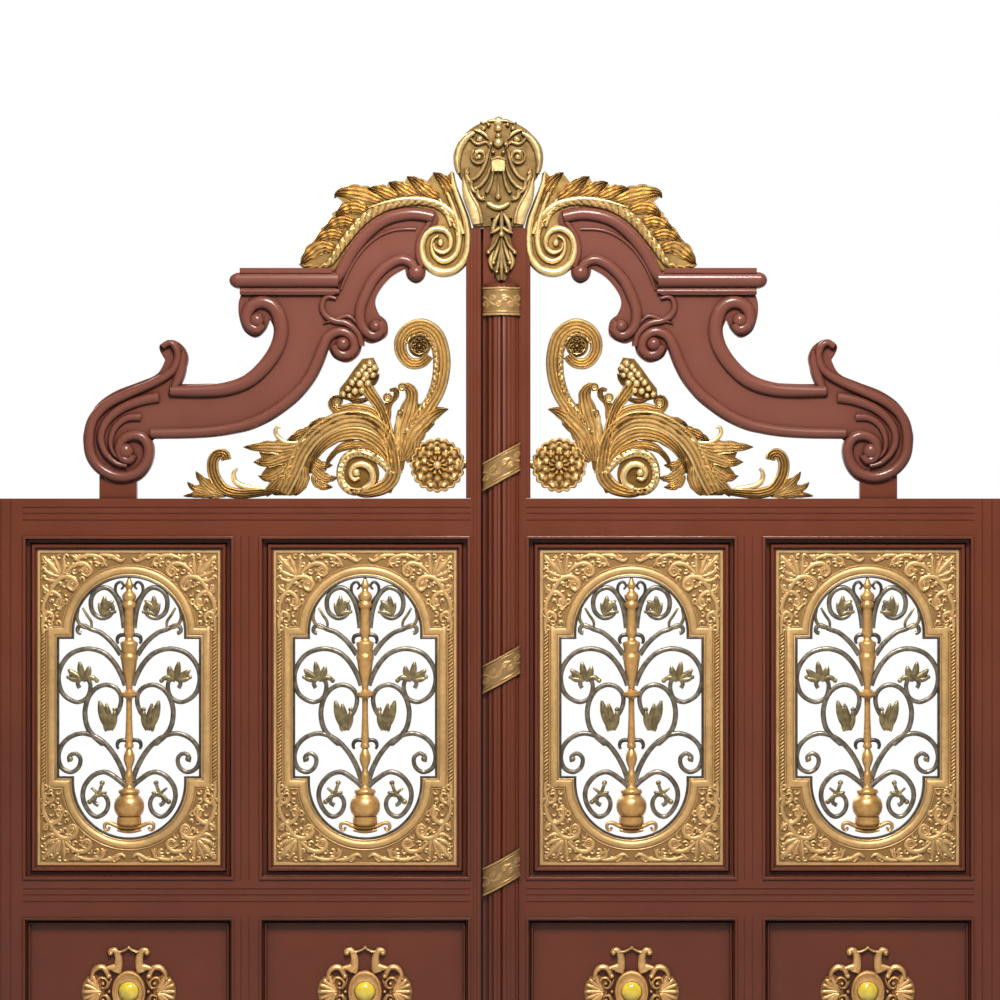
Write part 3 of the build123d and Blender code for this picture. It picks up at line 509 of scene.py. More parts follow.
class Finish:
    """A material whose nodes are added one line at a time."""

    def __init__(self, name, **shader):
        self.material = bpy.data.materials.new(name)
        self.material.use_nodes = True
        self.nodes = self.material.node_tree.nodes
        self.shader = self.nodes["Principled BSDF"]
        for label, value in shader.items():
            self.shader.inputs[label.replace("_", " ")].default_value = value
        self.place = self.add("ShaderNodeTexCoord").outputs["Object"]

    def add(self, kind, links=(), **settings):
        """Add a node; links pair its input sockets with what feeds them."""
        return add_node(self.material.node_tree, kind, links, settings)

    def noise(self, scale, detail=3.0, roughness=0.55):
        """Noise on object coordinates."""
        return self.add("ShaderNodeTexNoise", [("Vector", self.place), ("Scale", scale), ("Detail", detail),
                                               ("Roughness", roughness)]).outputs[0]

    def ramp(self, factor, stops):
        """Colour ramp over a factor: pairs of place and colour."""
        ramp = self.add("ShaderNodeValToRGB", [("Fac", factor)])
        line = ramp.color_ramp.elements
        while len(line) < len(stops):
            line.new(0.5)
        for stop, (place, shade) in zip(line, stops):
            stop.position = place
            stop.color = (*shade, 1) if len(shade) == 3 else (shade[0],) * 3 + (1,)
        return ramp.outputs["Color"]

    def math(self, operation, a, b, clamp=False):
        """One sum on factors."""
        return self.add("ShaderNodeMath", [(0, a), (1, b)], operation=operation, use_clamp=clamp).outputs[0]

    def mix(self, factor, a, b):
        """Mixed colours."""
        a, b = ((*source, 1) if isinstance(source, tuple) else source for source in (a, b))
        return self.add("ShaderNodeMix", [(0, factor), (6, a), (7, b)], data_type="RGBA").outputs[2]

    def relief(self, low, high):
        """The piece's own relief, from 0 at the low share to 1 at the high one."""
        height = self.add("ShaderNodeAttribute", attribute_name="relief").outputs["Fac"]
        return self.ramp(height, [(low, (0.0,)), (high, (1.0,))])

    def openness(self, distance, samples=5):
        """How open the surface is to the room around it, from 0 to 1."""
        node = self.add("ShaderNodeAmbientOcclusion", [("Distance", distance)], samples=samples)
        return node.outputs["AO"]

    def coat(self, weight, roughness):
        """Clear coat."""
        self.shader.inputs["Coat Weight"].default_value = weight
        self.shader.inputs["Coat Roughness"].default_value = roughness

    def bump(self, height, strength, distance):
        """Bump from a height."""
        node = self.add("ShaderNodeBump", [("Height", height), ("Strength", strength),
                                           ("Distance", distance)])
        self.into("Normal", node.outputs[0])

    def into(self, label, source):
        """Feed a socket of the shader."""
        self.material.node_tree.links.new(source, self.shader.inputs[label])


def shades(value, factor):
    """A colour made lighter or darker."""
    return tuple(min(channel * factor, 1.0) for channel in value)


def paint_finish(name, base, deep, roughness, relief=False):
    """Satin paint with faint brushing; its darker colour in grooves and recesses is painted shade."""
    paint = Finish(name, Roughness=roughness, Metallic=0.0)
    paint.shader.inputs["Specular IOR Level"].default_value = 0.12
    paint.coat(0.28, 0.14)
    cloud = paint.noise(2.2, 4.0)
    speck = paint.noise(160.0, 2.0)
    tone = paint.ramp(cloud, [(0.3, shades(base, 0.88)), (0.7, shades(base, 1.1))])
    tone = paint.mix(paint.math("MULTIPLY", speck, 0.2), tone, shades(base, 0.72))
    # Painted shade: the shade colour goes where ambient occlusion finds recesses and, with relief, on the
    # low parts.
    lit = paint.ramp(paint.openness(0.045), [(0.42, (0.0,)), (0.92, (1.0,))])
    if relief:
        lit = paint.math("MULTIPLY", lit, paint.relief(0.1, 0.8), clamp=True)
    paint.into("Base Color", paint.mix(lit, deep, tone))
    paint.into("Roughness", paint.ramp(paint.noise(9.0), [(0.3, (roughness - 0.07,)),
                                                          (0.7, (roughness + 0.1,))]))
    paint.bump(paint.noise(420.0, 2.0), 0.12, 0.0006)
    return paint


def gilt_finish(name, bright, deep, metal=0.8, rough=0.36, relief=(0.06, 0.56), reach=0.022,
                open_range=(0.3, 0.9)):
    """Antique gilding, slightly uneven: the gilt colour on the raised parts, and brown in recesses and on
    low flanks, which is painted shade together with the dark patina of the gilding.
    """
    gilt = Finish(name, Roughness=rough, Metallic=metal)
    cloud = gilt.noise(7.0, 4.0)
    tone = gilt.ramp(cloud, [(0.28, shades(bright, 0.78)), (0.5, bright), (0.72, shades(bright, 1.14))])
    # Painted shade, partly patina: the shade colour goes where ambient occlusion finds recesses and, through
    # the relief, on low parts and flanks.
    lit = gilt.ramp(gilt.openness(reach), [(open_range[0], (0.0,)), (open_range[1], (1.0,))])
    if relief:
        lit = gilt.math("MULTIPLY", lit, gilt.relief(*relief), clamp=True)
    stain = gilt.ramp(gilt.noise(55.0, 3.0), [(0.35, (0.74,)), (0.6, (1.0,))])
    lit = gilt.math("MULTIPLY", lit, stain, clamp=True)
    gilt.into("Base Color", gilt.mix(lit, deep, tone))
    gilt.into("Roughness", gilt.ramp(gilt.noise(30.0), [(0.3, (rough - 0.06,)), (0.7, (rough + 0.11,))]))
    gilt.bump(gilt.noise(260.0, 3.0), 0.16, 0.0008)
    return gilt


def bronze_finish(name, base, worn):
    """Dark patinated bronze with grey rubbed edges."""
    bronze = Finish(name, Roughness=0.42, Metallic=0.55)
    bronze.coat(0.4, 0.3)
    edge = bronze.ramp(bronze.add("ShaderNodeNewGeometry").outputs["Pointiness"],
                       [(0.49, (0.0,)), (0.56, (1.0,))])
    patch = bronze.ramp(bronze.noise(38.0, 4.0), [(0.42, (0.15,)), (0.62, (0.8,))])
    tone = bronze.mix(bronze.math("MULTIPLY", edge, patch), base, worn)
    bronze.into("Base Color", bronze.mix(bronze.math("MULTIPLY", patch, 0.3), tone, worn))
    bronze.into("Roughness", bronze.ramp(patch, [(0.2, (0.5,)), (0.8, (0.34,))]))
    bronze.bump(bronze.noise(300.0, 3.0), 0.2, 0.0008)
    return bronze


def make_finishes(colours):
    """All finishes of the gate."""
    shade = {label: tuple(getattr(colours, label)) for label in GateColours.__annotations__}
    # The crest paint, lighter and greyer than the framing paint, is a painted sheen.
    for name, colour_name in (("gate_paint", "paint"), ("gate_crest_paint_sheen", "paint_crest"),
                              ("gate_paint_shaded", "paint")):
        paint_finish(name, shade[colour_name], shade["paint_deep"], 0.37, name == "gate_paint_shaded")
    gilt_finish("gate_gilt", shade["gilt"], shade["gilt_deep"])
    gilt_finish("gate_tan", shade["tan"], shade["tan_deep"], metal=0.45, rough=0.44, relief=(-0.6, 0.5),
                reach=0.016, open_range=(0.25, 0.9))
    gilt_finish("gate_tan_plain", shades(shade["tan"], 1.1), shade["tan_deep"], metal=0.45, rough=0.44,
                relief=None, reach=0.016, open_range=(0.12, 0.68))
    # Painted shade: the bands take a darker copy of the tan gilt, standing in for the shade that falls on
    # them round the column.
    gilt_finish("gate_band_shaded", shades(shade["tan"], 0.84), shades(shade["tan_deep"], 0.7), metal=0.5,
                rough=0.42, relief=(-0.2, 0.7), reach=0.016, open_range=(0.25, 0.9))
    gilt_finish("gate_old_gilt", shades(shade["gilt"], 0.74), shades(shade["gilt_deep"], 0.6))
    gilt_finish("gate_rose", shade["rose"], shade["rose_deep"], metal=0.6, rough=0.4, relief=(0.05, 0.6))
    gilt_finish("gate_copper", shade["copper"], shade["gilt_deep"], metal=0.6, rough=0.38, relief=None,
                reach=0.02)
    for name, label in (("gate_bronze", "bronze"), ("gate_bronze_leaf", "leaf"),
                        ("gate_bronze_rim_shadow", "rim")):
        bronze_finish(name, shade[label], shade[f"{label}_worn"])
    amber = Finish("gate_amber", Roughness=0.16, Metallic=0.0)
    amber.coat(0.8, 0.05)
    amber.into("Base Color", amber.ramp(amber.noise(35.0), [(0.3, shades(shade["amber"], 0.8)),
                                                            (0.7, shades(shade["amber"], 1.1))]))
    steel = Finish("gate_steel", Roughness=0.36, Metallic=0.9)
    brushed = steel.add("ShaderNodeMapping", [("Vector", steel.place), ("Scale", (300.0, 300.0, 18.0))])
    grain = steel.add("ShaderNodeTexNoise", [("Vector", brushed.outputs[0]), ("Scale", 1.0),
                                             ("Detail", 3.0)]).outputs[0]
    steel.into("Base Color", steel.ramp(grain, [(0.3, shades(shade["steel"], 0.75)),
                                                (0.7, shades(shade["steel"], 1.1))]))
    steel.into("Roughness", steel.ramp(grain, [(0.3, (0.28,)), (0.7, (0.46,))]))
    steel.bump(grain, 0.1, 0.0005)


# Mouldings round the panels

BEAD_PROFILE = (
    (0, 42), (1, 45), (3, 46), (8, 46), (11, 44.5), (12.5, 41), (13.5, 32), (14, 20), (16, 14),
    (22, 12.5), (29, 13), (32, 18), (34, 24), (36.5, 26.5), (40, 27), (44, 26.5), (47, 24), (48.5, 19),
    (49.5, 14.5), (52, 13.8), (56, 14),
)
LOWER_PROFILE = (
    (0, 42), (1, 45), (3, 46), (7, 46), (9.5, 44.5), (11, 41), (11.8, 32), (12.3, 20), (14, 13),
    (17, 12.5), (19, 18), (20.5, 23), (22.5, 25.5), (25, 26), (27.5, 25), (29.5, 21), (30.5, 15), (32, 9.5),
    (36, 8), (60, 8),
)
PANEL_LAP = 3
PANEL_STEP = 0.05


def rectangle(width, height):
    """Function that gives a rectangle drawn in by an offset."""
    def at(offset):
        x, z = width / 2 - offset, height / 2 - offset
        return [(-x, -z), (x, -z), (x, z), (-x, z)]
    return at


def panel_box(node):
    """Centre and size of a panel's node: metres for the centre, millimetres for the size."""
    low, high = span(node)
    centre = ((low[0] + high[0]) / 2, (low[2] + high[2]) / 2)
    return centre, (high[0] - low[0]) * 1000, (high[2] - low[2]) * 1000


def moulding(name, body, node, profile, filled):
    """Moulding of one panel, with the panel itself where it has one."""
    centre, width, height = panel_box(node)
    casting = Casting(centre)
    outline = rectangle(width, height)
    casting.ring(outline, profile)
    if filled:
        inset, depth = profile[-1]
        casting.plate(outline(inset - PANEL_LAP), [], depth - PANEL_STEP, 1.0)
    return casting.finish(name, "gate_paint", body, "mahogany_paint", (node,), smooth=28)


# Gilt surrounds

ARCH_HALF, WIDE_HALF, WIDE_UP, ARCH_MARGIN = 230, 289.5, 284, 102
ARC_STEPS = 26
BORDER = 14


def arched_outline(height):
    """Function that gives the opening's outline moved outwards by an offset."""
    arc_centre = height / 2 - ARCH_MARGIN - ARCH_HALF

    def at(offset):
        radius = ARCH_HALF + offset
        ledge = WIDE_UP + offset
        lowest = atan2(max(ledge - arc_centre, 0) + 3, radius)
        angles = [pi / 2 + (lowest - pi / 2) * k / ARC_STEPS for k in range(ARC_STEPS + 1)]
        quarter = [(radius * cos(angle), arc_centre + radius * sin(angle)) for angle in angles]
        reach = sqrt(max(radius**2 - max(ledge - arc_centre, 0) ** 2, 0))
        quarter += [(reach, ledge), (WIDE_HALF + offset, ledge), (WIDE_HALF + offset, ledge * 0.5)]
        right = quarter[1:]
        below = [(x, -z) for x, z in reversed(right)]
        left = [(-x, -z) for x, z in right]
        above = [(-x, z) for x, z in reversed(right)]
        return ([quarter[0]] + right + [(WIDE_HALF + offset, 0)] + below + [(0, -quarter[0][1])] + left
                + [(-WIDE_HALF - offset, 0)] + above)
    return at


BAND_PROFILE = (
    (-0.5, 9.5), (0, 11), (2, 12.2), (5, 11.4), (6.5, 9.8), (8.5, 11.5), (12, 14.2), (18, 16.2), (24, 16.6),
    (30, 15.4), (34, 13), (36, 10.4), (37, 9.2), (38.5, 10.6), (41, 11.2), (43, 10), (44, 7.6),
)


SURROUND_BASE = 8.0
SURROUND_EDGE = ((0.4, 7.6), (0.4, 11), (1.5, 12), (9, 12), (11, 11.4), (12, 9.5), (13, 7.6))
CORNER_STROKES = (
    ([(24, 336), (22, 292), (36, 250), (62, 262), (58, 288), (42, 284)], (9, 13, 7), 9),
    ([(26, 262), (26, 214), (54, 168), (92, 190), (88, 224), (66, 218)], (9, 15, 7), 9),
    ([(40, 190), (84, 118), (128, 108), (158, 134), (144, 162), (122, 150)], (9, 16, 7), 9),
    ([(110, 96), (150, 60), (190, 56), (214, 82), (200, 104), (180, 94)], (9, 15, 7), 9),
    ([(150, 40), (204, 22), (252, 30), (270, 52), (256, 66)], (8, 13, 7), 8),
    ([(250, 20), (300, 26), (334, 44), (352, 32)], (8, 14, 7), 8),
)
STROKE_SWELL = 1.5
CORNER_ROUNDELS = ((276, 418, 21), (228, 494, 23), (172, 546, 23), (112, 590, 17), (56, 606, 13),
                   (330, 372, 16))
CORNER_FANS = (
    ([(96, 108), (62, 70), (20, 22)], 40, 11), ([(96, 108), (44, 92), (20, 62)], 28, 9),
    ([(96, 108), (76, 50), (62, 20)], 28, 9), ([(100, 112), (56, 124), (22, 106)], 28, 9),
    ([(100, 112), (108, 60), (104, 22)], 28, 9), ([(60, 170), (32, 160), (20, 138)], 28, 9),
    ([(170, 50), (150, 30), (130, 20)], 28, 9),
)
CURL_STEPS = 8


def roundel(share, angle):
    """Ringed boss, as a height at a share of the radius."""
    return 0.35 + 0.65 * abs(cos(share * 2.5 * pi)) * (1 - 0.45 * share) + 0 * angle


def corner_shapes(casting, half_width, half_height, flip_x, flip_z, curls):
    """Carving in one corner of a surround: strokes and fans are measured from the corner."""
    def from_corner(points):
        return mirrored([(half_width - x, half_height - z) for x, z in points], flip_x, flip_z)

    for points, widths, rise in CORNER_STROKES:
        widths = tuple(width * STROKE_SWELL for width in widths)
        casting.ribbon(from_corner(points), widths, SURROUND_BASE, rise, 8.0, 6)
    for x, z, radius in CORNER_ROUNDELS:
        casting.disc((flip_x * x, flip_z * z), radius, SURROUND_BASE, 10, roundel, 8, 16)
    for points, width, rise in CORNER_FANS:
        casting.ribbon(from_corner(points), (12, width, 5), SURROUND_BASE, rise, 8.0, 8, leaf_section,
                       beats=3, lobes=0.25, taper=0.2)
    for x, z, turn, reach in curls:
        hand = 1 if (int(x) + int(z)) % 2 else -1
        curl = []
        for k in range(CURL_STEPS):
            radius = reach * (1 - 0.75 * k / (CURL_STEPS - 1))
            angle = turn + hand * k * 0.72
            curl.append((x + radius * cos(angle), z + radius * sin(angle)))
        casting.ribbon(mirrored(curl, flip_x, flip_z), (8, 13, 9), SURROUND_BASE, 7, 7.0, 4)


CURLED_FROM = 300
BAND_CLEAR = 44


def curl_places(half_width, half_height, pitch, seed):
    """Scattered places for small curls in one corner, clear of the opening's band."""
    rng = np.random.default_rng(seed)
    places = []
    arc_centre = half_height - ARCH_MARGIN - ARCH_HALF
    step = pitch * 1000
    rows = int((half_height - CURLED_FROM) / step)
    columns = int((half_width - 20) / step)
    for row in range(rows):
        for column in range(columns):
            x = half_width - BORDER - step * (column + 0.5 + rng.uniform(-0.2, 0.2))
            z = half_height - BORDER - step * (row + 0.5 + rng.uniform(-0.2, 0.2))
            turn, reach = rng.uniform(0, 2 * pi), rng.uniform(0.36, 0.48) * step
            blocked = hypot(x, max(z - arc_centre, 0)) < ARCH_HALF + BAND_CLEAR + reach * 0.8
            if x >= 8 and not blocked:
                places.append((x, z, turn, reach))
    return places


def surround(name, body, node, sizes):
    """Pierced gilt surround of one upper panel."""
    centre, width, height = panel_box(node)
    casting = Casting(centre)
    outline = arched_outline(height)
    edge = rectangle(width, height)
    casting.plate(edge(0.4), [outline(3)], SURROUND_BASE)
    casting.ring(outline, BAND_PROFILE)
    casting.ring(edge, SURROUND_EDGE)
    curls = curl_places(width / 2, height / 2, sizes.curl_pitch, sizes.carving_seed)
    for flip_x in (1, -1):
        for flip_z in (1, -1):
            corner_shapes(casting, width / 2, height / 2, flip_x, flip_z, curls)
    return casting.finish(name, "gate_tan", body, "gilt", (node,))


BORDER_INSET, BORDER_REACH, BORDER_DEPTH = 24, 300, 9.5


def twisted_border(name, body, node, tree):
    """Upright twisted borders beside one opening, on both faces."""
    centre, width, _ = panel_box(node)
    paths = []
    for depth in (-BORDER_DEPTH, BORDER_DEPTH):
        for hand in (1, -1):
            x = centre[0] + mm(hand * (width / 2 - BORDER_INSET))
            heights = centre[1] + mm(np.linspace(-BORDER_REACH, BORDER_REACH, 30))
            paths.append([(x, mm(depth), z) for z in heights])
    points, edges = wires(paths)
    return tree.run(name, points, edges, {}, body, "gilt")


def rope_tree(sizes, finish):
    """Small leaves that follow a path and lie across it in turn."""
    tree = Tree("twisted_border", {"Pitch": float(sizes.rope_pitch), "Leaf": float(sizes.rope_leaf),
                                   "Finish": bpy.data.materials[finish]})
    line = tree.node("GeometryNodeMeshToCurve", [("Mesh", tree.given("Geometry"))])
    even = tree.node("GeometryNodeResampleCurve", [("Curve", line.outputs[0]),
                                                   ("Length", tree.given("Pitch"))], mode="LENGTH")
    leaf = tree.node("GeometryNodeMeshUVSphere", [("Segments", 8), ("Rings", 6),
                                                  ("Radius", tree.given("Leaf"))])
    slim = tree.node("GeometryNodeTransform", [("Geometry", leaf.outputs["Mesh"]),
                                               ("Rotation", (0.0, 0.8, 0.0)),
                                               ("Scale", (0.36, 0.6, 1.0))])
    tangent = tree.node("GeometryNodeInputTangent")
    turn = tree.node("FunctionNodeAlignRotationToVector", [("Vector", tangent.outputs[0])], axis="Z",
                     pivot_axis="Y")
    copies = tree.node("GeometryNodeInstanceOnPoints", [("Points", even.outputs[0]),
                                                        ("Instance", slim.outputs[0]),
                                                        ("Rotation", turn.outputs[0])])
    tree.close(copies.outputs[0])
    return tree


def bar_tree(sizes, finish):
    """Round bars along wires, thinner where the wire says so."""
    tree = Tree("scroll_bars", {"Radius": float(sizes.bar_radius), "Sides": int(sizes.bar_sides),
                                "Finish": bpy.data.materials[finish]})
    line = tree.node("GeometryNodeMeshToCurve", [("Mesh", tree.given("Geometry"))])
    thick = tree.node("GeometryNodeInputNamedAttribute", [("Name", "thick")], data_type="FLOAT")
    sized = tree.node("GeometryNodeSetCurveRadius", [("Curve", line.outputs[0]),
                                                     ("Radius", thick.outputs["Attribute"])])
    circle = tree.node("GeometryNodeCurvePrimitiveCircle", [("Resolution", tree.given("Sides")),
                                                            ("Radius", tree.given("Radius"))])
    links = [("Curve", sized.outputs[0]), ("Profile Curve", circle.outputs["Curve"]), ("Fill Caps", True)]
    tube = tree.node("GeometryNodeCurveToMesh", links)
    if "Scale" in tube.inputs:
        tree.group.links.new(thick.outputs["Attribute"], tube.inputs["Scale"])
    smooth = tree.node("GeometryNodeSetShadeSmooth", [("Geometry", tube.outputs[0])])
    tree.close(smooth.outputs[0])
    return tree


# Grilles: distances from the panel's centre in millimetres

GRILLE_SCROLLS = (
    [(20, 318), (33, 400), (59, 456), (94, 481), (135, 466), (153, 430), (146, 384), (115, 359), (84, 364),
     (66, 386), (70, 412), (92, 420), (106, 404)],
    [(33, 211), (70, 262), (115, 300), (153, 314), (186, 330), (204, 322), (206, 304), (192, 298)],
    [(15, 88), (33, 134), (64, 185), (105, 221), (166, 236), (232, 216), (273, 165), (283, 109), (263, 52),
     (212, 22), (171, 37), (156, 73), (160, 106), (186, 118), (206, 100), (198, 78)],
    [(105, -147), (161, -91), (177, -27), (166, 33), (138, 73), (98, 91), (58, 81), (34, 49), (36, 5),
     (58, -35), (86, -50), (108, -30), (100, -4), (82, -4)],
    [(15, -290), (33, -239), (64, -183), (105, -137), (150, -111), (196, -104), (242, -122), (273, -157),
     (283, -203), (268, -244), (232, -259), (202, -239), (196, -203), (217, -184), (240, -196), (238, -218)],
    [(8, -322), (40, -292), (94, -259), (140, -270), (176, -310), (186, -351), (176, -392), (150, -428),
     (125, -438), (94, -418), (84, -382), (100, -352), (130, -352), (140, -378), (122, -392)],
)
GRILLE_LEAVES = (
    ([(110, 368), (96, 396), (62, 430)], (10, 30, 6)),
    ([(110, 368), (102, 408), (98, 448)], (10, 28, 8)),
    ([(110, 368), (86, 380), (56, 384)], (8, 20, 8)),
    ([(110, 370), (116, 396), (122, 420)], (8, 18, 6)),
    ([(152, 314), (152, 344), (170, 372), (186, 400)], (9, 12, 8)),
    ([(160, 316), (190, 326), (208, 356), (202, 394)], (9, 14, 9)),
    ([(182, 108), (166, 138), (160, 166)], (16, 30, 9)),
    ([(186, 112), (194, 150), (199, 184)], (16, 28, 8)),
    ([(190, 112), (222, 132), (244, 154)], (16, 30, 8)),
    ([(186, 108), (152, 120), (130, 110)], (14, 24, 12)),
    ([(190, 112), (222, 112), (244, 120)], (14, 22, 10)),
    ([(70, -92), (60, -50), (58, -12)], (10, 26, 10)),
    ([(78, -92), (98, -50), (120, 28)], (10, 36, 8)),
    ([(74, -92), (80, -40), (92, 16)], (10, 26, 8)),
    ([(92, -96), (96, -70), (92, -44)], (9, 18, 9)),
    ([(123, -346), (114, -324), (108, -304)], (14, 14, 12)),
    ([(123, -346), (142, -360), (156, -376)], (14, 14, 12)),
    ([(123, -346), (104, -342), (90, -340)], (12, 12, 9)),
    ([(123, -346), (140, -332), (152, -322)], (12, 12, 9)),
)
GRILLE_BALLS = ((108, 400, 12), (58, 384, 8), (156, 318, 10), (196, 120, 17), (130, 108, 10),
                (244, 122, 9), (58, -8, 10), (84, -58, 18), (236, -206, 12), (104, -142, 13),
                (108, -302, 11), (158, -378, 11), (122, -346, 15))
HOOKS = (
    ([(20, 416), (36, 436), (54, 462), (52, 492), (34, 504), (22, 488), (32, 474)], (9, 13, 9)),
    ([(8, 288), (24, 292), (42, 286), (48, 268), (42, 256)], (15, 17, 10)),
    ([(8, -136), (24, -130), (42, -136), (48, -154), (42, -166)], (15, 17, 10)),
)
STEM_FOOT = ((-78, -480), (-86, -492), (-98, -484), (-96, -466), (-78, -462), (-50, -474), (0, -480),
             (50, -474), (78, -462), (96, -466), (98, -484), (86, -492), (78, -480))
STEM_PROFILE = (
    (-476, 30), (-472, 42), (-466, 48), (-456, 50), (-448, 48), (-440, 50), (-436, 44), (-430, 50),
    (-416, 58), (-400, 61), (-384, 60), (-370, 55), (-360, 47), (-352, 38), (-346, 38), (-343, 42),
    (-336, 43), (-329, 40), (-324, 24), (-312, 15), (-296, 18), (-280, 20), (-264, 16), (-250, 11),
    (-240, 12), (-226, 18), (-208, 23), (-192, 22), (-176, 16), (-166, 11), (-160, 18), (-150, 19),
    (-144, 15), (-130, 17), (-100, 15), (-50, 13),
    (0, 12), (34, 12), (40, 20), (46, 34), (54, 37), (62, 36), (68, 24), (74, 13), (90, 14), (120, 20),
    (150, 27), (176, 31), (190, 33), (196, 36), (206, 36), (212, 31), (222, 30), (240, 32), (254, 36),
    (262, 34), (268, 22), (276, 16), (284, 16), (292, 22), (300, 23), (320, 21), (350, 20), (384, 21),
    (396, 21), (402, 28), (412, 31), (420, 27), (428, 22), (436, 27), (448, 29), (458, 24), (466, 14),
    (474, 11), (484, 17), (492, 18), (502, 12), (512, 8), (522, 4),
)


STEM_BASE = ((-48, -490), (0, -496), (48, -490))
RIM_PROFILE = ((-0.6, 6), (-0.6, 12), (-3, 13.5), (-7, 13.5), (-9.4, 11), (-9.4, 6))
GRILLE_DRAWN = (578.4, 1059.4)
BAR_THINNING = 0.22


def grille(name, body, node, sizes, tree):
    """Scroll bars, leaves, rim and turned stem of one upper panel."""
    centre, width, height = panel_box(node)
    spread, rise = width / GRILLE_DRAWN[0], height / GRILLE_DRAWN[1]

    def fitted(points, hand=1):
        return [(hand * x * spread, z * rise) for x, z in points]

    paths, thick = [], []
    for hand in (1, -1):
        for points in GRILLE_SCROLLS:
            flat = smooth_path(fitted(points, hand), 9.0)
            paths.append([(centre[0] + mm(x), 0.0, centre[1] + mm(z)) for x, z in flat])
            thick.append(1.0 - BAR_THINNING * np.linspace(0, 1, len(flat)))
    points, edges = wires(paths)
    bars = tree.run(f"{name}_bars", points, edges, {"thick": np.concatenate(thick)}, body, "dark_bronze",
                    (node,))
    leaves, rim, stem = Casting(centre), Casting(centre), Casting(centre)
    # The rim round the opening, near black as a painted shadow of the opening's inner edge.
    rim.ring(arched_outline(height + 2 * ARCH_MARGIN), RIM_PROFILE)
    for hand in (1, -1):
        for points, widths in GRILLE_LEAVES:
            leaves.ribbon(fitted(points, hand), widths, 3.5, 8.0, across=6, taper=0.15)
        for points, widths in HOOKS:
            rim.ribbon(fitted(points, hand), widths, 2, 8, across=6)
        for x, z, radius in GRILLE_BALLS:
            leaves.ball(fitted([(x, z)], hand)[0], radius, 0, 10, 4, 12)
    leaves.finish(f"{name}_leaves", "gate_bronze_leaf", body, "dark_bronze")
    rim.finish(f"{name}_rim", "gate_bronze_rim_shadow", body, "dark_bronze")
    stem.lathe([(z * rise, radius) for z, radius in STEM_PROFILE], sizes.stem_sides)
    stem.ribbon(fitted(STEM_FOOT), (10, 19, 10), 4, 14)
    stem.ribbon(fitted(STEM_BASE), (12, 18, 12), 4, 10)
    stem.finish(f"{name}_stem", "gate_copper", body, "gilt", smooth=50)
    return bars


# Crest: the plate's outline, rolls along it and balls, as distance and height over the leaf

CREST_RUNS = (
    [(1279, 459), (1189, 459), (1090, 467), (1010, 495), (937, 545), (897, 608), (893, 660), (914, 717)],
    [(914, 717), (938, 668), (973, 644), (1015, 668), (1037, 724), (1040, 780), (1029, 818)],
    [(1029, 818), (1029, 842)],
    [(1029, 900), (1029, 916)],
    [(665, 916), (649, 902)],
    [(649, 902), (595, 1004), (523, 1094), (445, 1148), (343, 1166), (254, 1154)],
    [(254, 1154), (240, 1110), (296, 1050), (312, 990), (292, 930), (296, 885), (327, 862), (362, 880),
     (373, 920)],
    [(373, 920), (433, 884), (481, 824), (493, 782), (475, 734)],
    [(475, 734), (446, 706), (447, 652), (503, 621), (547, 636)],
    [(547, 636), (556, 580), (602, 545), (655, 560), (679, 598)],
    [(679, 598), (704, 530), (737, 468), (793, 399), (849, 352), (905, 314), (961, 286), (1017, 267),
     (1129, 248), (1241, 241), (1391, 238)],
    [(1391, 240), (1381, 164), (1401, 110), (1441, 70), (1501, 56), (1554, 66), (1620, 124), (1653, 183),
     (1662, 250), (1640, 323), (1601, 382), (1534, 429), (1435, 468), (1365, 500), (1334, 555)],
    [(1334, 555), (1357, 611), (1315, 638), (1262, 610), (1242, 555), (1279, 459)],
)
CREST_ROLLS = (
    ([(668, 862), (630, 908), (585, 990), (512, 1075), (440, 1121), (345, 1139), (262, 1126)],
     (50, 54, 50), 22),
    ([(631, 836), (583, 940), (517, 1022), (433, 1070), (330, 1078)], (14, 16, 14), 10),
    ([(1312, 430), (1189, 430), (1095, 438), (1010, 466), (945, 518), (892, 590), (870, 655), (874, 710),
      (894, 760), (935, 785), (980, 776), (1006, 738), (1000, 694), (966, 676), (944, 698)],
     (46, 62, 44), 24),
    ([(1391, 260), (1241, 262), (1129, 270), (1030, 288), (972, 308), (914, 338), (862, 374), (811, 416),
      (765, 470), (731, 534), (706, 596), (676, 650), (628, 668), (588, 646), (576, 606), (600, 576),
      (640, 582), (656, 612)],
     (42, 46, 40), 20),
    ([(1343, 607), (1313, 624), (1288, 598), (1284, 556), (1309, 506), (1376, 464), (1477, 420),
      (1568, 374), (1622, 315), (1638, 245), (1629, 169), (1583, 112), (1511, 86), (1444, 104),
      (1406, 155), (1402, 211), (1427, 245), (1469, 251), (1507, 230), (1518, 194), (1505, 160),
      (1475, 152), (1462, 174)], (30, 46, 40), 24),
    ([(1359, 405), (1435, 390), (1515, 356), (1570, 305), (1592, 245), (1575, 186), (1532, 143),
      (1486, 130)], (46, 38, 24), 20),
    ([(1431, 325), (1490, 320), (1534, 284), (1552, 228), (1542, 184), (1515, 158)], (34, 30, 16), 17),
    ([(327, 905), (352, 944), (392, 956), (446, 930), (500, 876), (530, 820), (552, 760), (552, 708),
      (530, 668), (494, 652), (466, 676), (478, 704)], (40, 46, 40), 22),
    ([(650, 800), (688, 806), (706, 775), (696, 738), (660, 712), (606, 700), (562, 662), (548, 610)],
     (18, 30, 26), 16),
    ([(700, 700), (650, 716), (600, 730), (566, 700)], (6, 20, 14), 12),
    ([(1312, 418), (1286, 470), (1268, 530), (1262, 590)], (20, 44, 16), 18),
    ([(270, 1110), (312, 1044), (322, 984), (306, 925)], (22, 26, 22), 12),
)
CREST_BALLS = ((329, 903, 34), (622, 618, 30), (968, 712, 32), (492, 688, 27), (1494, 188, 36),
               (1046, 874, 31))
CREST_DEPTH = 24
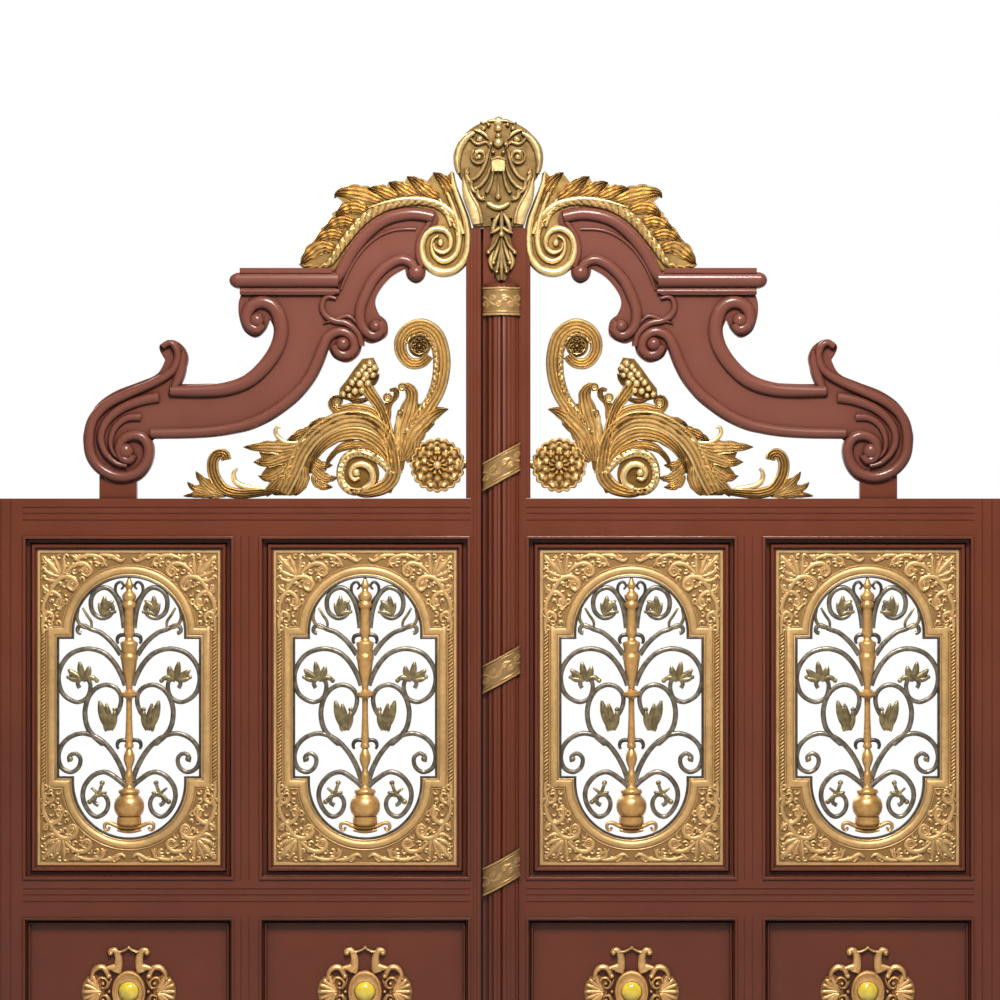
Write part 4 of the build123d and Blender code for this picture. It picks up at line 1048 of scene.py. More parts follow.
CAP_TORUS, CAP_PLATE, CAP_FILLET = (842, 906), (902, 922), (816, 842)
CAP_ROLLS = ((CAP_TORUS, 1050, 640, 27), (CAP_FILLET, 1034, 636, 14))
CAP_BLOCKS = ((CAP_PLATE, 1034, 664, 49), (CAP_FILLET, 1029, 652, 40))


def crest_line(points):
    """Outline points stretched with the leaf."""
    return [(MEETING_REACH * 1000 + (u - DRAWN_MEETING) * CREST_STRETCH, h) for u, h in points]


def closed_outline(runs, step=10.0):
    """One closed line through smooth runs that meet at corners."""
    line = []
    for k, run in enumerate(runs):
        points = smooth_path(crest_line(run), step) if len(run) > 2 else np.array(crest_line(run), float)
        following = np.array(crest_line([runs[(k + 1) % len(runs)][0]])[0])
        if np.linalg.norm(points[-1] - following) < 0.5:
            points = points[:-1]
        line.extend(map(tuple, points))
    return line


def crest(name, side, body):
    """Brown casting over one leaf."""
    casting = Casting((0, LEAF_TOP), side)
    outline = closed_outline(CREST_RUNS)
    casting.plate(outline, [], CREST_DEPTH, 0.4)
    casting.plate(inset_line(outline, 5), [], CREST_DEPTH + 2, 0.4)
    for points, widths, rise in CREST_ROLLS:
        casting.ribbon(crest_line(points), widths, CREST_DEPTH, rise, 14.0)
    for u, h, radius in CREST_BALLS:
        casting.ball(crest_line([(u, h)])[0], radius, CREST_DEPTH, 30, 8, 28)
    for (low, high), left, right, rise in CAP_ROLLS:
        middle, tall = (low + high) / 2, high - low
        line = crest_line([(left, middle), ((left + right) / 2, middle), (right, middle)])
        casting.ribbon(line, (tall, tall, tall), CREST_DEPTH + 6, rise, 24.0, 12)
    for (low, high), left, right, depth in CAP_BLOCKS:
        (x1, z1), (x2, z2) = crest_line([(left, low), (right, high)])
        casting.plate([(x1, z1), (x2, z1), (x2, z2), (x1, z2)], [], depth, 0.5)
    return casting.finish(name, "gate_crest_paint_sheen", body, "mahogany_paint", (name,))


def inset_line(line, amount):
    """A closed line moved inwards by a small amount."""
    points = np.asarray(line, float)
    ahead, behind = np.roll(points, -1, axis=0), np.roll(points, 1, axis=0)
    along = ahead - behind
    along /= np.maximum(np.linalg.norm(along, axis=1), 1e-9)[:, None]
    area = 0.5 * np.sum(points[:, 0] * ahead[:, 1] - ahead[:, 0] * points[:, 1])
    inward = np.column_stack([-along[:, 1], along[:, 0]]) * (1 if area > 0 else -1)
    return [tuple(p) for p in points + inward * amount]


# Gilt acanthus on the arch

ACANTHUS_RUNS = (
    [(799, 938), (784, 926), (700, 922), (649, 904), (595, 1006), (523, 1096), (445, 1150), (343, 1168),
     (262, 1156)],
    [(262, 1156), (252, 1110), (305, 1060), (318, 1010), (304, 950), (264, 912), (222, 900), (160, 916),
     (120, 950), (104, 1010), (104, 1070), (122, 1130), (150, 1190), (172, 1250), (185, 1314)],
    [(185, 1314), (222, 1272)],
    [(259, 1303), (292, 1262)],
    [(363, 1292), (388, 1242)],
    [(437, 1270), (462, 1222)],
    [(518, 1250), (540, 1206)],
    [(599, 1240), (655, 1216)],
    [(612, 1180), (668, 1140)],
    [(652, 1122), (712, 1080)],
    [(694, 1056), (748, 1022)],
    [(736, 1000), (799, 938)],
)
ACANTHUS_LOBES = (
    ([(176, 1180), (196, 1240), (222, 1276), (262, 1306)], 64),
    ([(236, 1196), (290, 1234), (330, 1268), (366, 1290)], 64),
    ([(320, 1204), (372, 1232), (408, 1254), (440, 1266)], 64),
    ([(396, 1196), (440, 1218), (484, 1236), (522, 1241)], 64),
    ([(456, 1182), (510, 1208), (584, 1226), (640, 1224), (656, 1204)], 76),
    ([(520, 1144), (570, 1166), (616, 1160), (652, 1124)], 64),
    ([(574, 1096), (622, 1112), (662, 1098), (700, 1066)], 64),
    ([(618, 1046), (664, 1062), (702, 1050), (734, 1018)], 64),
    ([(652, 992), (700, 1012), (748, 986), (792, 938)], 76),
)
ACANTHUS_RIBS = (
    ([(786, 934), (722, 924), (676, 942), (622, 1020), (545, 1112), (460, 1168), (370, 1190), (290, 1190),
      (222, 1160), (176, 1096), (158, 1040)], (14, 48, 12), rope_section, 19),
    ([(520, 1164), (450, 1186), (370, 1200), (290, 1196), (220, 1172), (170, 1126), (140, 1060)],
     (8, 26, 22), round_section, 15),
    ([(186, 1304), (176, 1250), (150, 1176), (128, 1110), (120, 1040), (130, 968), (172, 918), (232, 906),
      (284, 936), (306, 990), (298, 1046), (260, 1078), (214, 1074), (190, 1040), (196, 1000),
      (226, 984), (254, 1000), (258, 1024)], (18, 36, 14), round_section, 20),
    ([(204, 1226), (178, 1160), (160, 1090), (158, 1024), (176, 972), (216, 950), (250, 966), (266, 1000),
      (262, 1036), (240, 1052)], (14, 28, 12), round_section, 18),
    ([(236, 1200), (206, 1140), (190, 1090)], (12, 24, 14), round_section, 14),
)


ACANTHUS_DEPTH = 17


def acanthus(name, side, body, node):
    """Gilt leaf and volute on the arch."""
    casting = Casting((0, LEAF_TOP), side)
    low, high = span(node)
    limit = (low[0] if side > 0 else -high[0]) * 1000 + 1
    outline = [(max(x, limit), z) for x, z in closed_outline(ACANTHUS_RUNS)]
    casting.plate(outline, [], ACANTHUS_DEPTH, 0.15)
    for points, belly in ACANTHUS_LOBES:
        casting.ribbon(crest_line(points), (36, belly, 4), ACANTHUS_DEPTH - 4, 19, 6.0, 12, leaf_section,
                       beats=4.0, lobes=0.2, taper=0.12)
    for points, widths, section, rise in ACANTHUS_RIBS:
        beats = 26 if section is rope_section else 0
        casting.ribbon(crest_line(points), widths, ACANTHUS_DEPTH, rise, 8.0, 12, section, beats)
    casting.ball(crest_line([(232, 1024)])[0], 15, ACANTHUS_DEPTH, 20)
    return casting.finish(name, "gate_gilt", body, "gilt", (node,))


# Scrollwork on the top rail: points, widths, section and swell

SPANDREL = (
    ([(393, 188), (355, 264), (301, 341), (247, 425), (225, 501), (223, 578), (247, 655), (301, 693),
      (355, 681), (389, 639), (389, 586), (355, 544), (309, 544), (278, 574)], (54, 60, 40), "flute", 12),
    ([(393, 150), (384, 264), (358, 356), (346, 420), (368, 448), (392, 434)], (40, 76, 22), "leaf", 15),
    ([(378, 170), (339, 264), (286, 318), (240, 348), (200, 358)], (40, 84, 6), "leaf", 16),
    ([(372, 150), (340, 190), (330, 240), (300, 276), (255, 300)], (30, 60, 6), "leaf", 13),
    ([(400, 190), (400, 270), (396, 341), (372, 352)], (20, 26, 16), "round", 9),
    ([(416, 100), (420, 149), (439, 257), (469, 356), (515, 425), (538, 456)], (64, 40, 60), "flute", 13),
    ([(443, 250), (446, 325), (436, 387), (410, 410), (412, 436), (436, 434)], (22, 34, 16), "leaf", 10),
    ([(438, 240), (500, 341), (584, 362), (640, 352), (668, 376), (656, 404), (630, 400), (632, 380)],
     (22, 44, 12), "flute", 10),
    ([(416, 130), (443, 241), (515, 310), (607, 320), (684, 291), (745, 245), (791, 184), (822, 111),
      (864, 24)], (50, 74, 66), "flute", 14),
    ([(424, 142), (469, 214), (546, 260), (630, 256), (699, 214), (740, 157), (757, 100)], (40, 54, 10),
     "flute", 12),
    ([(431, 119), (485, 184), (561, 214), (630, 203), (676, 160), (694, 110)], (30, 40, 8), "leaf", 11),
    ([(420, 142), (424, 88), (454, 50), (500, 30), (546, 22), (592, 36)], (56, 56, 14), "flute", 14),
    ([(424, 96), (462, 142), (508, 172), (561, 184), (607, 165), (630, 119), (626, 65), (592, 31),
      (546, 31), (516, 52)], (34, 36, 30), "rope", 15),
    ([(540, 40), (508, 61), (504, 103), (531, 134), (569, 134), (592, 107), (580, 77), (556, 84)],
     (26, 30, 16), "round", 15),
    ([(790, 214), (860, 204), (944, 206), (1022, 206)], (40, 60, 5), "leaf", 13),
    ([(800, 186), (875, 160), (929, 144), (980, 146)], (40, 58, 5), "leaf", 13),
    ([(815, 140), (875, 100), (921, 82), (962, 92)], (40, 56, 5), "leaf", 12),
    ([(825, 96), (867, 54), (900, 14)], (40, 54, 8), "leaf", 12),
    ([(783, 130), (786, 70), (816, 12)], (36, 56, 10), "leaf", 12),
    ([(745, 130), (700, 84), (645, 84)], (30, 50, 5), "leaf", 11),
    ([(757, 160), (710, 134), (664, 134)], (24, 40, 5), "leaf", 10),
    ([(740, 96), (718, 56), (664, 46)], (26, 40, 5), "leaf", 10),
    ([(770, 236), (820, 222), (866, 232), (893, 262), (888, 286), (872, 286)], (16, 20, 12), "round", 9),
    ([(900, 30), (975, 22), (1043, 20), (1101, 38), (1137, 88), (1145, 142), (1128, 176), (1100, 178),
      (1090, 154)], (24, 46, 40), "flute", 14),
    ([(952, 40), (1020, 48), (1055, 69), (1061, 100), (1046, 122)], (14, 24, 10), "round", 10),
    ([(1090, 16), (1150, 40), (1190, 76), (1212, 108)], (30, 50, 5), "leaf", 11),
    ([(1110, 12), (1174, 30), (1222, 44), (1246, 66)], (26, 44, 5), "leaf", 10),
    ([(1135, 8), (1196, 16), (1262, 10)], (16, 30, 5), "leaf", 9),
    ([(936, 18), (906, 44), (875, 81), (844, 142)], (30, 46, 30), "flute", 11),
    ([(160, 130), (126, 140), (106, 150)], (40, 30, 20), "round", 8),
    ([(374, 262), (326, 330), (278, 408), (254, 480), (250, 565), (268, 628), (304, 656), (346, 648),
      (366, 622)], (12, 26, 12), "rope", 20),
    ([(470, 262), (520, 318), (570, 342), (620, 338)], (10, 30, 8), "leaf", 15),
    ([(700, 264), (760, 270), (812, 250), (850, 226)], (16, 46, 6), "leaf", 14),
    ([(640, 300), (690, 312), (730, 306), (760, 290)], (10, 36, 6), "leaf", 13),
    ([(556, 424), (520, 452), (494, 470), (478, 500)], (14, 26, 6), "leaf", 12),
    ([(520, 400), (556, 392), (596, 402), (612, 430)], (14, 26, 6), "leaf", 12),
)
VOLUTE_EYE, CURL_EYE = (316, 612), (569, 103)


def circle(x, z, radius, sides):
    """Outline points round a centre."""
    angles = [k * pi / (sides / 2) for k in range(sides)]
    return [(x + radius * cos(angle), z + radius * sin(angle)) for angle in angles]


SPANDREL_PLATES = (
    ([(430, 20), (412, 60), (416, 150), (443, 235), (512, 300), (600, 312), (676, 288), (735, 245),
      (785, 190), (815, 120), (850, 24), (800, 20), (770, 80), (745, 130), (700, 190), (640, 225),
      (560, 235), (500, 200), (455, 150), (440, 100), (450, 60), (490, 36)], 7),
    ([(800, 215), (860, 222), (930, 212), (960, 190), (950, 165), (985, 146), (925, 130), (945, 105),
      (955, 88), (905, 80), (890, 40), (895, 12), (820, 12), (790, 100)], 6),
    ([(416, 60), (378, 120), (366, 200), (395, 262), (430, 250), (444, 180)], 6),
    ([(380, 170), (345, 230), (300, 290), (250, 345), (280, 380), (330, 380), (370, 330), (395, 250)], 5),
    ([(478, 520), (500, 565), (545, 560), (580, 516), (606, 478), (636, 440), (640, 402), (600, 392),
      (545, 410), (515, 460), (490, 480)], 4),
    (circle(560, 98, 84, 24), 5),
    (circle(*VOLUTE_EYE, 46, 20), 5),
)
SECTIONS = {"flute": fluted_section, "leaf": leaf_section, "round": round_section, "rope": rope_section}
GRAPES = ((515, 540, 17), (497, 524, 15), (536, 526, 16), (561, 496, 17), (530, 494, 19), (502, 494, 15),
          (586, 464, 16), (554, 461, 18), (522, 462, 17), (602, 440, 15), (574, 430, 17), (621, 417, 14),
          (546, 433, 15), (596, 412, 13), (514, 513, 15), (547, 512, 14), (573, 478, 13), (540, 478, 14))
CURLS = ((443, 404, 20), (645, 383, 18), (385, 446, 18), (393, 345, 12))
ROSETTE = (244, 134, 112)


SCROLL_DEPTH = 8


def scroll_end(share, angle):
    """Ringed curl, as a height at a share of the radius."""
    return 0.4 + 0.6 * abs(cos(share * 2 * pi)) + 0 * angle


def spandrel(name, side, body, node, petals):
    """Gilt scrollwork between the arch and the top rail of one leaf."""
    casting = Casting((0, LEAF_TOP), side)
    for points, depth in SPANDREL_PLATES:
        casting.plate(crest_line(points), [], depth)
    for points, widths, section, rise in SPANDREL:
        leafy = section == "leaf"
        casting.ribbon(crest_line(points), widths, SCROLL_DEPTH, rise, 10.0, 8 if section == "round" else 12,
                       SECTIONS[section], {"leaf": 4, "rope": 22}.get(section, 0),
                       lobes=0.22 if leafy else 0.0, taper=0.1 if leafy else 0.0)
    for u, h, radius in GRAPES:
        casting.ball(crest_line([(u, h)])[0], radius, SCROLL_DEPTH / 2, 22, 5, 14)
    for u, h, radius in CURLS:
        casting.disc(crest_line([(u, h)])[0], radius, SCROLL_DEPTH, 14, scroll_end, 8, 20)
    flower(casting, crest_line([VOLUTE_EYE])[0], 36, 18, 8)
    flower(casting, crest_line([ROSETTE[:2]])[0], ROSETTE[2], 22, petals)
    casting.ball(crest_line([CURL_EYE])[0], 18, SCROLL_DEPTH, 18, 5, 16)
    return casting.finish(name, "gate_gilt", body, "gilt", (node,))


def flower(casting, centre, radius, rise, petals):
    """Rosette with a scalloped rim, three rows of petals and a round heart."""
    def height(share, angle):
        petal = np.abs(np.cos(petals * angle / 2)) ** 1.2
        inner = np.abs(np.sin(petals * angle / 2)) ** 1.2
        if share > 0.88:
            return 0.6 * np.sqrt(np.clip(1 - ((share - 0.94) / 0.06) ** 2, 0, 1)) + 0.1 * petal
        for low, high, wave in ((0.61, 0.88, petal), (0.36, 0.61, inner), (0.12, 0.36, petal)):
            if share > low:
                return 0.02 + 0.9 * wave * abs(sin(pi * (share - low) / (high - low)))
        return 0.4 + 0 * angle

    def scallops(angle):
        return 0.92 + 0.08 * np.abs(np.cos(petals * angle))

    casting.disc(centre, radius, SCROLL_DEPTH, rise, height, 20, petals * 8, scallops)
    casting.ball(centre, radius * 0.17, SCROLL_DEPTH, rise * 1.1, 6, 20)


# Column bands and top ornament

def column_surface():
    """Centre, half width and radius of the column's face, and its axis, from its box."""
    low, high = span("column")
    half = (high[0] - low[0]) / 2
    rise = -HALF_LEAF - low[1]
    radius = (half**2 + rise**2) / (2 * rise)
    return (low[0] + high[0]) / 2, half, radius, low[1] + radius


COLUMN_STEPS = 145
# Flutes as distance from the middle, half width and depth in millimetres; the deeper ones on the left carry
# more painted shade.
COLUMN_FLUTES = ((-47, 9, 9), (-25, 6, 7), (-4, 3, 2.5), (13, 5, 7), (35, 5, 3), (52, 4, 2), (72, 4, 2.5))
FLUTE_SHADE = 7.0
NECK_UNDER, NECK_OVER = 16, 14
TRIM_WIDTH = 18
TRIM_HEIGHT = 985
TRIM_PLATES = ((-1, TRIM_WIDTH - 4, 36), (TRIM_WIDTH - 5, TRIM_WIDTH, 31))
SHADOW_STRIP_GAP = 0.05
SHADOW_STRIP_DEPTHS = (22, 38)


def stile_trims():
    """Edge mouldings beside the tall meeting stiles, and a dark strip in the gap between the leaves that
    paints the shadow in the gap.
    """
    for leaf, side in SIDES:
        casting = Casting((side * MEETING_REACH, LEAF_TOP), side)
        for start, end, depth in TRIM_PLATES:
            casting.plate([(start, 1), (end, 1), (end, TRIM_HEIGHT), (start, TRIM_HEIGHT)], [], depth, 0.6)
        casting.finish(f"{leaf}_stile_trim", "gate_paint", f"{leaf}_leaf", "mahogany_paint", smooth=35)
    low, left = span("left_meeting_stile")
    right = span("right_meeting_stile")[0]
    near, far = mm(SHADOW_STRIP_DEPTHS[0]), mm(SHADOW_STRIP_DEPTHS[1])
    x1, x2 = left[0] - mm(1), right[0] - mm(SHADOW_STRIP_GAP)
    points = [(x, y, z) for z in (low[2] + mm(5), left[2] + mm(1.5))
              for x, y in ((x1, near), (x2, near), (x2, far), (x1, far))]
    faces = [(k, (k + 1) % 4, (k + 1) % 4 + 4, k + 4) for k in range(4)] + [(0, 1, 2, 3), (4, 5, 6, 7)]
    # Painted shadow: with no relief, the strip takes the full shade colour of the paint.
    object_from("leaf_gap_shadow", points, faces, [0.0] * 8, "gate_paint_shaded", "left_leaf",
                smooth=35)


def column_shaft(body):
    """Fluted column on the meeting stile, with painted shade in its flutes."""
    middle, half, radius, axis_y = column_surface()
    low, high = span("column")
    across = np.linspace(-half, half, COLUMN_STEPS)
    groove = np.zeros(COLUMN_STEPS)
    for place, width, depth in COLUMN_FLUTES:
        away = np.clip(np.abs((middle + across) * 1000 - place) / width, 0, 1)
        groove = np.maximum(groove, depth * np.cos(away * pi / 2) ** 0.7)
    reach = radius - mm(groove)
    angle = np.arcsin(across / radius)
    points, relief, faces = [], [], []
    total = COLUMN_STEPS + 2
    neck = radius - mm(1)
    levels = ((low[2], reach), (high[2] - mm(NECK_UNDER), reach), (high[2] - mm(NECK_OVER), neck),
              (high[2], neck))
    for z, size in levels:
        size = np.broadcast_to(size, angle.shape)
        line = [(middle + r * sin(a), min(axis_y - r * cos(a), -HALF_LEAF)) for r, a in zip(size, angle)]
        line += [(middle + half, high[1]), (middle - half, high[1])]
        points += [(x, y, z) for x, y in line]
        # Painted shade: the relief falls with a flute's depth and the shaded paint darkens the grooves by
        # it, so the deeper left side is painted darker, as if lit from the right.
        relief += list(1 - np.clip((radius - size) * 1000 / FLUTE_SHADE, 0, 1)) + [1.0, 1.0]
    for start in range(0, total * (len(levels) - 1), total):
        faces += [(start + k, start + (k + 1) % total, start + (k + 1) % total + total, start + k + total)
                  for k in range(total)]
    faces += [tuple(range(total)), tuple(range(total * (len(levels) - 1), total * len(levels)))]
    return object_from("column_shaft", points, faces, relief, "gate_paint_shaded", body,
                       ("column",), smooth=50)


BAND_RISE = 9
BAND_LIP = ((-56, 0), (-56, 8.6), (-53, 9), (-49, 8.6), (-47, 5), (-45, 5), (-42, 7))
BAND_FACE, BAND_ROWS, BAND_COLUMNS = 39, 27, 40
BAND_FIRST, BAND_SECOND, BAND_PITCH, BAND_SLOPE = 788, 127, 810, 0.55
BAND_OVERHANG = 6


def column_bands(body):
    """Gilt bands round the column, with lips and a running scroll."""
    middle, half, radius, axis_y = column_surface()
    places = [(LEAF_TOP + mm(BAND_FIRST), 0.0)]
    places += [(LEAF_TOP + mm(BAND_SECOND - BAND_PITCH * k), BAND_SLOPE) for k in range(4)]
    widest = np.arcsin(min((half + mm(BAND_OVERHANG)) / (radius + mm(BAND_RISE)), 1.0))
    rows = list(BAND_LIP) + [(z, None) for z in np.linspace(-BAND_FACE, BAND_FACE, BAND_ROWS)]
    rows += [(-z, rise) for z, rise in reversed(BAND_LIP)]
    width = BAND_COLUMNS + 1
    points, faces, relief = [], [], []
    for height, slope in places:
        start = len(points)
        for z, rise in rows:
            for k in range(width):
                angle = -widest + 2 * widest * k / BAND_COLUMNS
                out = 5.2 + 3.4 * scroll_relief(radius * sin(angle) * 1000, z) if rise is None else rise
                reach = radius + mm(out) - mm(0.3)
                x = reach * sin(angle)
                points.append((middle + x, axis_y - reach * cos(angle), height + mm(z) + slope * x))
                relief.append(min(max((out - 4) / 5, 0), 1))
        last = start + (len(rows) - 1) * width
        for line in range(start, last, width):
            faces += [(line + k, line + k + 1, line + k + width + 1, line + k + width)
                      for k in range(BAND_COLUMNS)]
        faces += [(start + k, last + k, last + k + 1, start + k + 1) for k in range(BAND_COLUMNS)]
        faces.append(tuple(range(start, last + 1, width)))
        faces.append(tuple(range(last + BAND_COLUMNS, start, -width)))
    return object_from("column_bands_relief", points, faces, relief, "gate_band_shaded", body,
                       ("column_bands",))


SCROLL_WAVE, SCROLL_LENGTH = 16, 15.0
SPOT_PITCH, SPOT_START, SPOT_RISE, SPOT_RING = 47.1 / 2, 12, 12, 9


def scroll_relief(x, z):
    """Height of the running scroll on a column band."""
    wave = SCROLL_WAVE * sin(x / SCROLL_LENGTH)
    stem = np.exp(-((z - wave) / 4.0) ** 2)
    spot = 0.0
    for k in range(-3, 4):
        distance = hypot(x - SPOT_PITCH * k - SPOT_START, z - SPOT_RISE * (-1 if k % 2 else 1))
        spot = max(spot, 0.9 * np.exp(-((distance - SPOT_RING) / 2.6) ** 2), np.exp(-(distance / 3.6) ** 2))
    return float(max(stem, spot))


# Top ornament: distances from the middle and heights over the leaf

ORNAMENT_HEIGHT, ORNAMENT_REACH, ORNAMENT_FOOT = 1357, 174, 1082
ORNAMENT_FRONT = HALF_LEAF * 1000 + 8
ORNAMENT_EDGES = (
    ([(96, 1462), (132, 1436), (158, 1392), (164, 1340), (156, 1300)], (20, 36, 16), 20, 8.0, 10),
    ([(132, 1312), (114, 1230), (78, 1162), (66, 1100)], (10, 16, 14), 14, 8.0, 8),
    ([(140, 1286), (124, 1216), (96, 1150), (84, 1098)], (6, 44, 40), 8, 8.0, 10),
)
ORNAMENT_EYE = (77, 1364)
ORNAMENT_STROKES = (
    ([(36, 1396), (56, 1330), (84, 1286), (110, 1272)], (12, 20, 12), 20),
    ([(30, 1330), (48, 1282), (76, 1248), (92, 1240)], (10, 20, 16), 22),
    ([(18, 1316), (30, 1260), (48, 1222)], (8, 18, 18), 22),
    ([(126, 1318), (124, 1286), (104, 1258)], (16, 22, 10), 18),
    ([(108, 1270), (104, 1238), (80, 1218)], (14, 20, 10), 18),
    ([(84, 1236), (76, 1204), (52, 1194)], (14, 20, 10), 18),
    ([(110, 1440), (84, 1418), (48, 1424), (30, 1400)], (12, 16, 8), 18),
    ([(96, 1472), (62, 1462), (40, 1436)], (10, 20, 8), 16),
)
ORNAMENT_BALLS = ((74, 1437, 16), (58, 1480, 11), (30, 1416, 10), (38, 1494, 9), (122, 1300, 9),
                  (92, 1238, 10), (60, 1202, 9), (20, 1384, 9))
ORNAMENT_CROWN = [(0, 1510), (30, 1510), (60, 1500), (72, 1506)]
ORNAMENT_PEARLS = ((1450, 14, 0, 26, 6, 18), (1422, 23, 0, 28, 7, 22), (1480, 17, 0, 18, 6, 18),
                   (1506, 22, -8, 18, 6, 20))
PENDANT_LOW = 872
PENDANT_OUTLINE = ((44, 1122), (30, 1062), (48, 992), (40, 932), (14, PENDANT_LOW))
PENDANT_STROKES = (
    ([(6, 1140), (26, 1104), (38, 1062)], (12, 22, 8), 16),
    ([(0, 1086), (30, 1066), (44, 1060)], (12, 18, 6), 18),
    ([(12, 1050), (30, 1010), (54, 986)], (10, 14, 14), 17),
    ([(6, 1030), (18, 990), (34, 946)], (10, 20, 18), 18),
    ([(4, 1000), (10, 950), (20, 910)], (8, 18, 14), 18),
    ([(30, 990), (44, 950), (36, 916)], (10, 20, 8), 14),
)
PENDANT_BALLS = ((52.38, 984, 10), (32.98, 942, 11), (19.4, 906, 9))


def cartouche(body):
    """Round gilt top ornament with ears, eyes, shell, crown, side plates and pendant."""
    back = span("cartouche")[1][1]
    casting = Casting((0, LEAF_TOP), 1, two_faced=False, back=back)
    angle = np.linspace(radians(-44), radians(60), 26)
    right = [(101, ORNAMENT_FOOT + 2.5), (102, 1150), (110, 1200)]
    right += [(ORNAMENT_REACH * cos(a), ORNAMENT_HEIGHT + 0.9 * ORNAMENT_REACH * sin(a)) for a in angle]
    right += [(60, 1506)]
    outline = right + [(-x, z) for x, z in reversed(right)]
    front = ORNAMENT_FRONT
    casting.plate(outline, [], front - 6, 0.1)
    casting.back = back - mm(5)
    casting.plate(inset_line(outline, 6), [], front, 0.16)
    for hand in (1, -1):
        for points, widths, rise, step, across in ORNAMENT_EDGES:
            casting.ribbon(mirrored(points, hand), widths, front, rise, step, across)
        eye = (hand * ORNAMENT_EYE[0], ORNAMENT_EYE[1])
        casting.ball(eye, 34, front, 8, 5, 24)
        eye = (eye[0], eye[1] + 2)
        curl = spiral(eye, 33, 12, pi / 2 - hand * 0.6, -hand * 1.3)
        casting.ribbon(curl, (10, 13, 9), front + 4, 16, 5.0, 6)
        casting.ball(eye, 14, front + 4, 18.4, 4, 14)
        for points, widths, rise in ORNAMENT_STROKES:
            casting.ribbon(mirrored(points, hand), widths, front, rise)
        for x, z, radius in ORNAMENT_BALLS:
            casting.ball((hand * x, z), radius, front, 24, 5, 16)
        casting.ribbon(mirrored(ORNAMENT_CROWN, hand), (16, 16, 6), front - 8, 16)
    for z, radius, lift, rise, rings, spokes in ORNAMENT_PEARLS:
        casting.ball((0, z), radius, front + lift, rise, rings, spokes)
    casting.plate([(-25, 1308), (25, 1308), (27, 1354), (-27, 1354)], [], front + 20, 0.85)
    casting.ribbon([(-28, 1352), (0, 1362), (28, 1352)], (14, 16, 14), front, 26)
    casting.ribbon([(0, 1312), (0, 1250), (0, 1200)], (5, 12, 26), front, 24)
    casting.ball((0, 1208), 14, front, 26, 6, 18)
    casting.ribbon([(-42, 1180), (0, 1162), (42, 1180)], (20, 26, 20), front, 18, across=10)
    pendant(casting, column_surface()[0] * 1000)
    return casting.finish("top_ornament", "gate_old_gilt", body, "gilt", ("cartouche",))


def pendant(casting, middle):
    """Leaf drop under the top ornament, on the column's middle."""
    def hung(points, hand=1):
        return [(middle + hand * x, z) for x, z in points]

    front = ORNAMENT_FRONT
    left = hung(PENDANT_OUTLINE, -1)
    casting.plate(left[:1] + hung(PENDANT_OUTLINE) + left[:0:-1], [], front, 0.12)
    for hand in (1, -1):
        for points, widths, rise in PENDANT_STROKES:
            casting.ribbon(hung(points, hand), widths, front, rise)
        for x, z, radius in PENDANT_BALLS:
            casting.ball(hung([(x, z)], hand)[0], radius, front, 20, 5, 16)
    casting.ribbon(hung([(0, 1150), (0, 1100), (0, 1050)]), (8, 20, 12), front, 20)
    casting.ball((middle, 1056), 15, front, 24, 6, 18)
    casting.ribbon(hung([(0, 1040), (0, 940), (0, PENDANT_LOW + 2)]), (10, 20, 12), front, 20)


# Medallions on the lower panels

MEDALLION_STROKES = (
    ([(50, 78), (43, 104), (42, 136), (50, 160)], (46, 35, 30), 15, 0),
    ([(46, 156), (60, 166), (76, 160), (74, 148)], (24, 26, 12), 17, 0),
    ([(44, 98), (68, 96), (94, 94)], (40, 28, 14), 13, 0),
    ([(60, 165), (34, 160), (16, 166), (0, 176)], (12, 12, 10), 14, 0),
    ([(148, 52), (143, 80), (122, 98), (98, 94), (83, 66)], (12, 25, 20), 18, 0),
    ([(126, 34), (118, 54), (98, 54), (84, 36), (94, 16), (112, 20), (110, 34)], (10, 13, 6), 15, 0),
    ([(112, 4), (134, 38), (148, 66)], (10, 24, 18), 13, 0.1),
    ([(112, 2), (146, 30), (168, 50)], (9, 23, 17), 13, 0.1),
    ([(112, 0), (154, 18), (182, 28)], (8, 21, 15), 13, 0.1),
    ([(96, 12), (84, 22), (70, 54)], (12, 14, 6), 10, 0.1),
)
MEDALLION_BALLS = ((80, 62, 12, 22), (72, 156, 12, 21), (103, 33, 9, 20), (150, 52, 9, 17))
SHELL_PLATE = ((98, 0), (100, 44), (140, 72), (166, 60), (184, 34), (190, 0))
SHELL_RIB = ((108, 0), (150, 0), (188, 0))
RING_PROFILE = ((0.6, 0), (0.6, 15), (5, 13), (11, 12), (15, 14), (18, 20), (20.5, 22), (23, 20.5), (25, 14),
                (26, 0))
BOSS_RADIUS, BOSS_EDGE = 42, 41.7


def boss_dome(share, angle):
    """Dome on a low rim, as a height at a share of the radius."""
    return 0.2 + 0.8 * dome(share, angle)


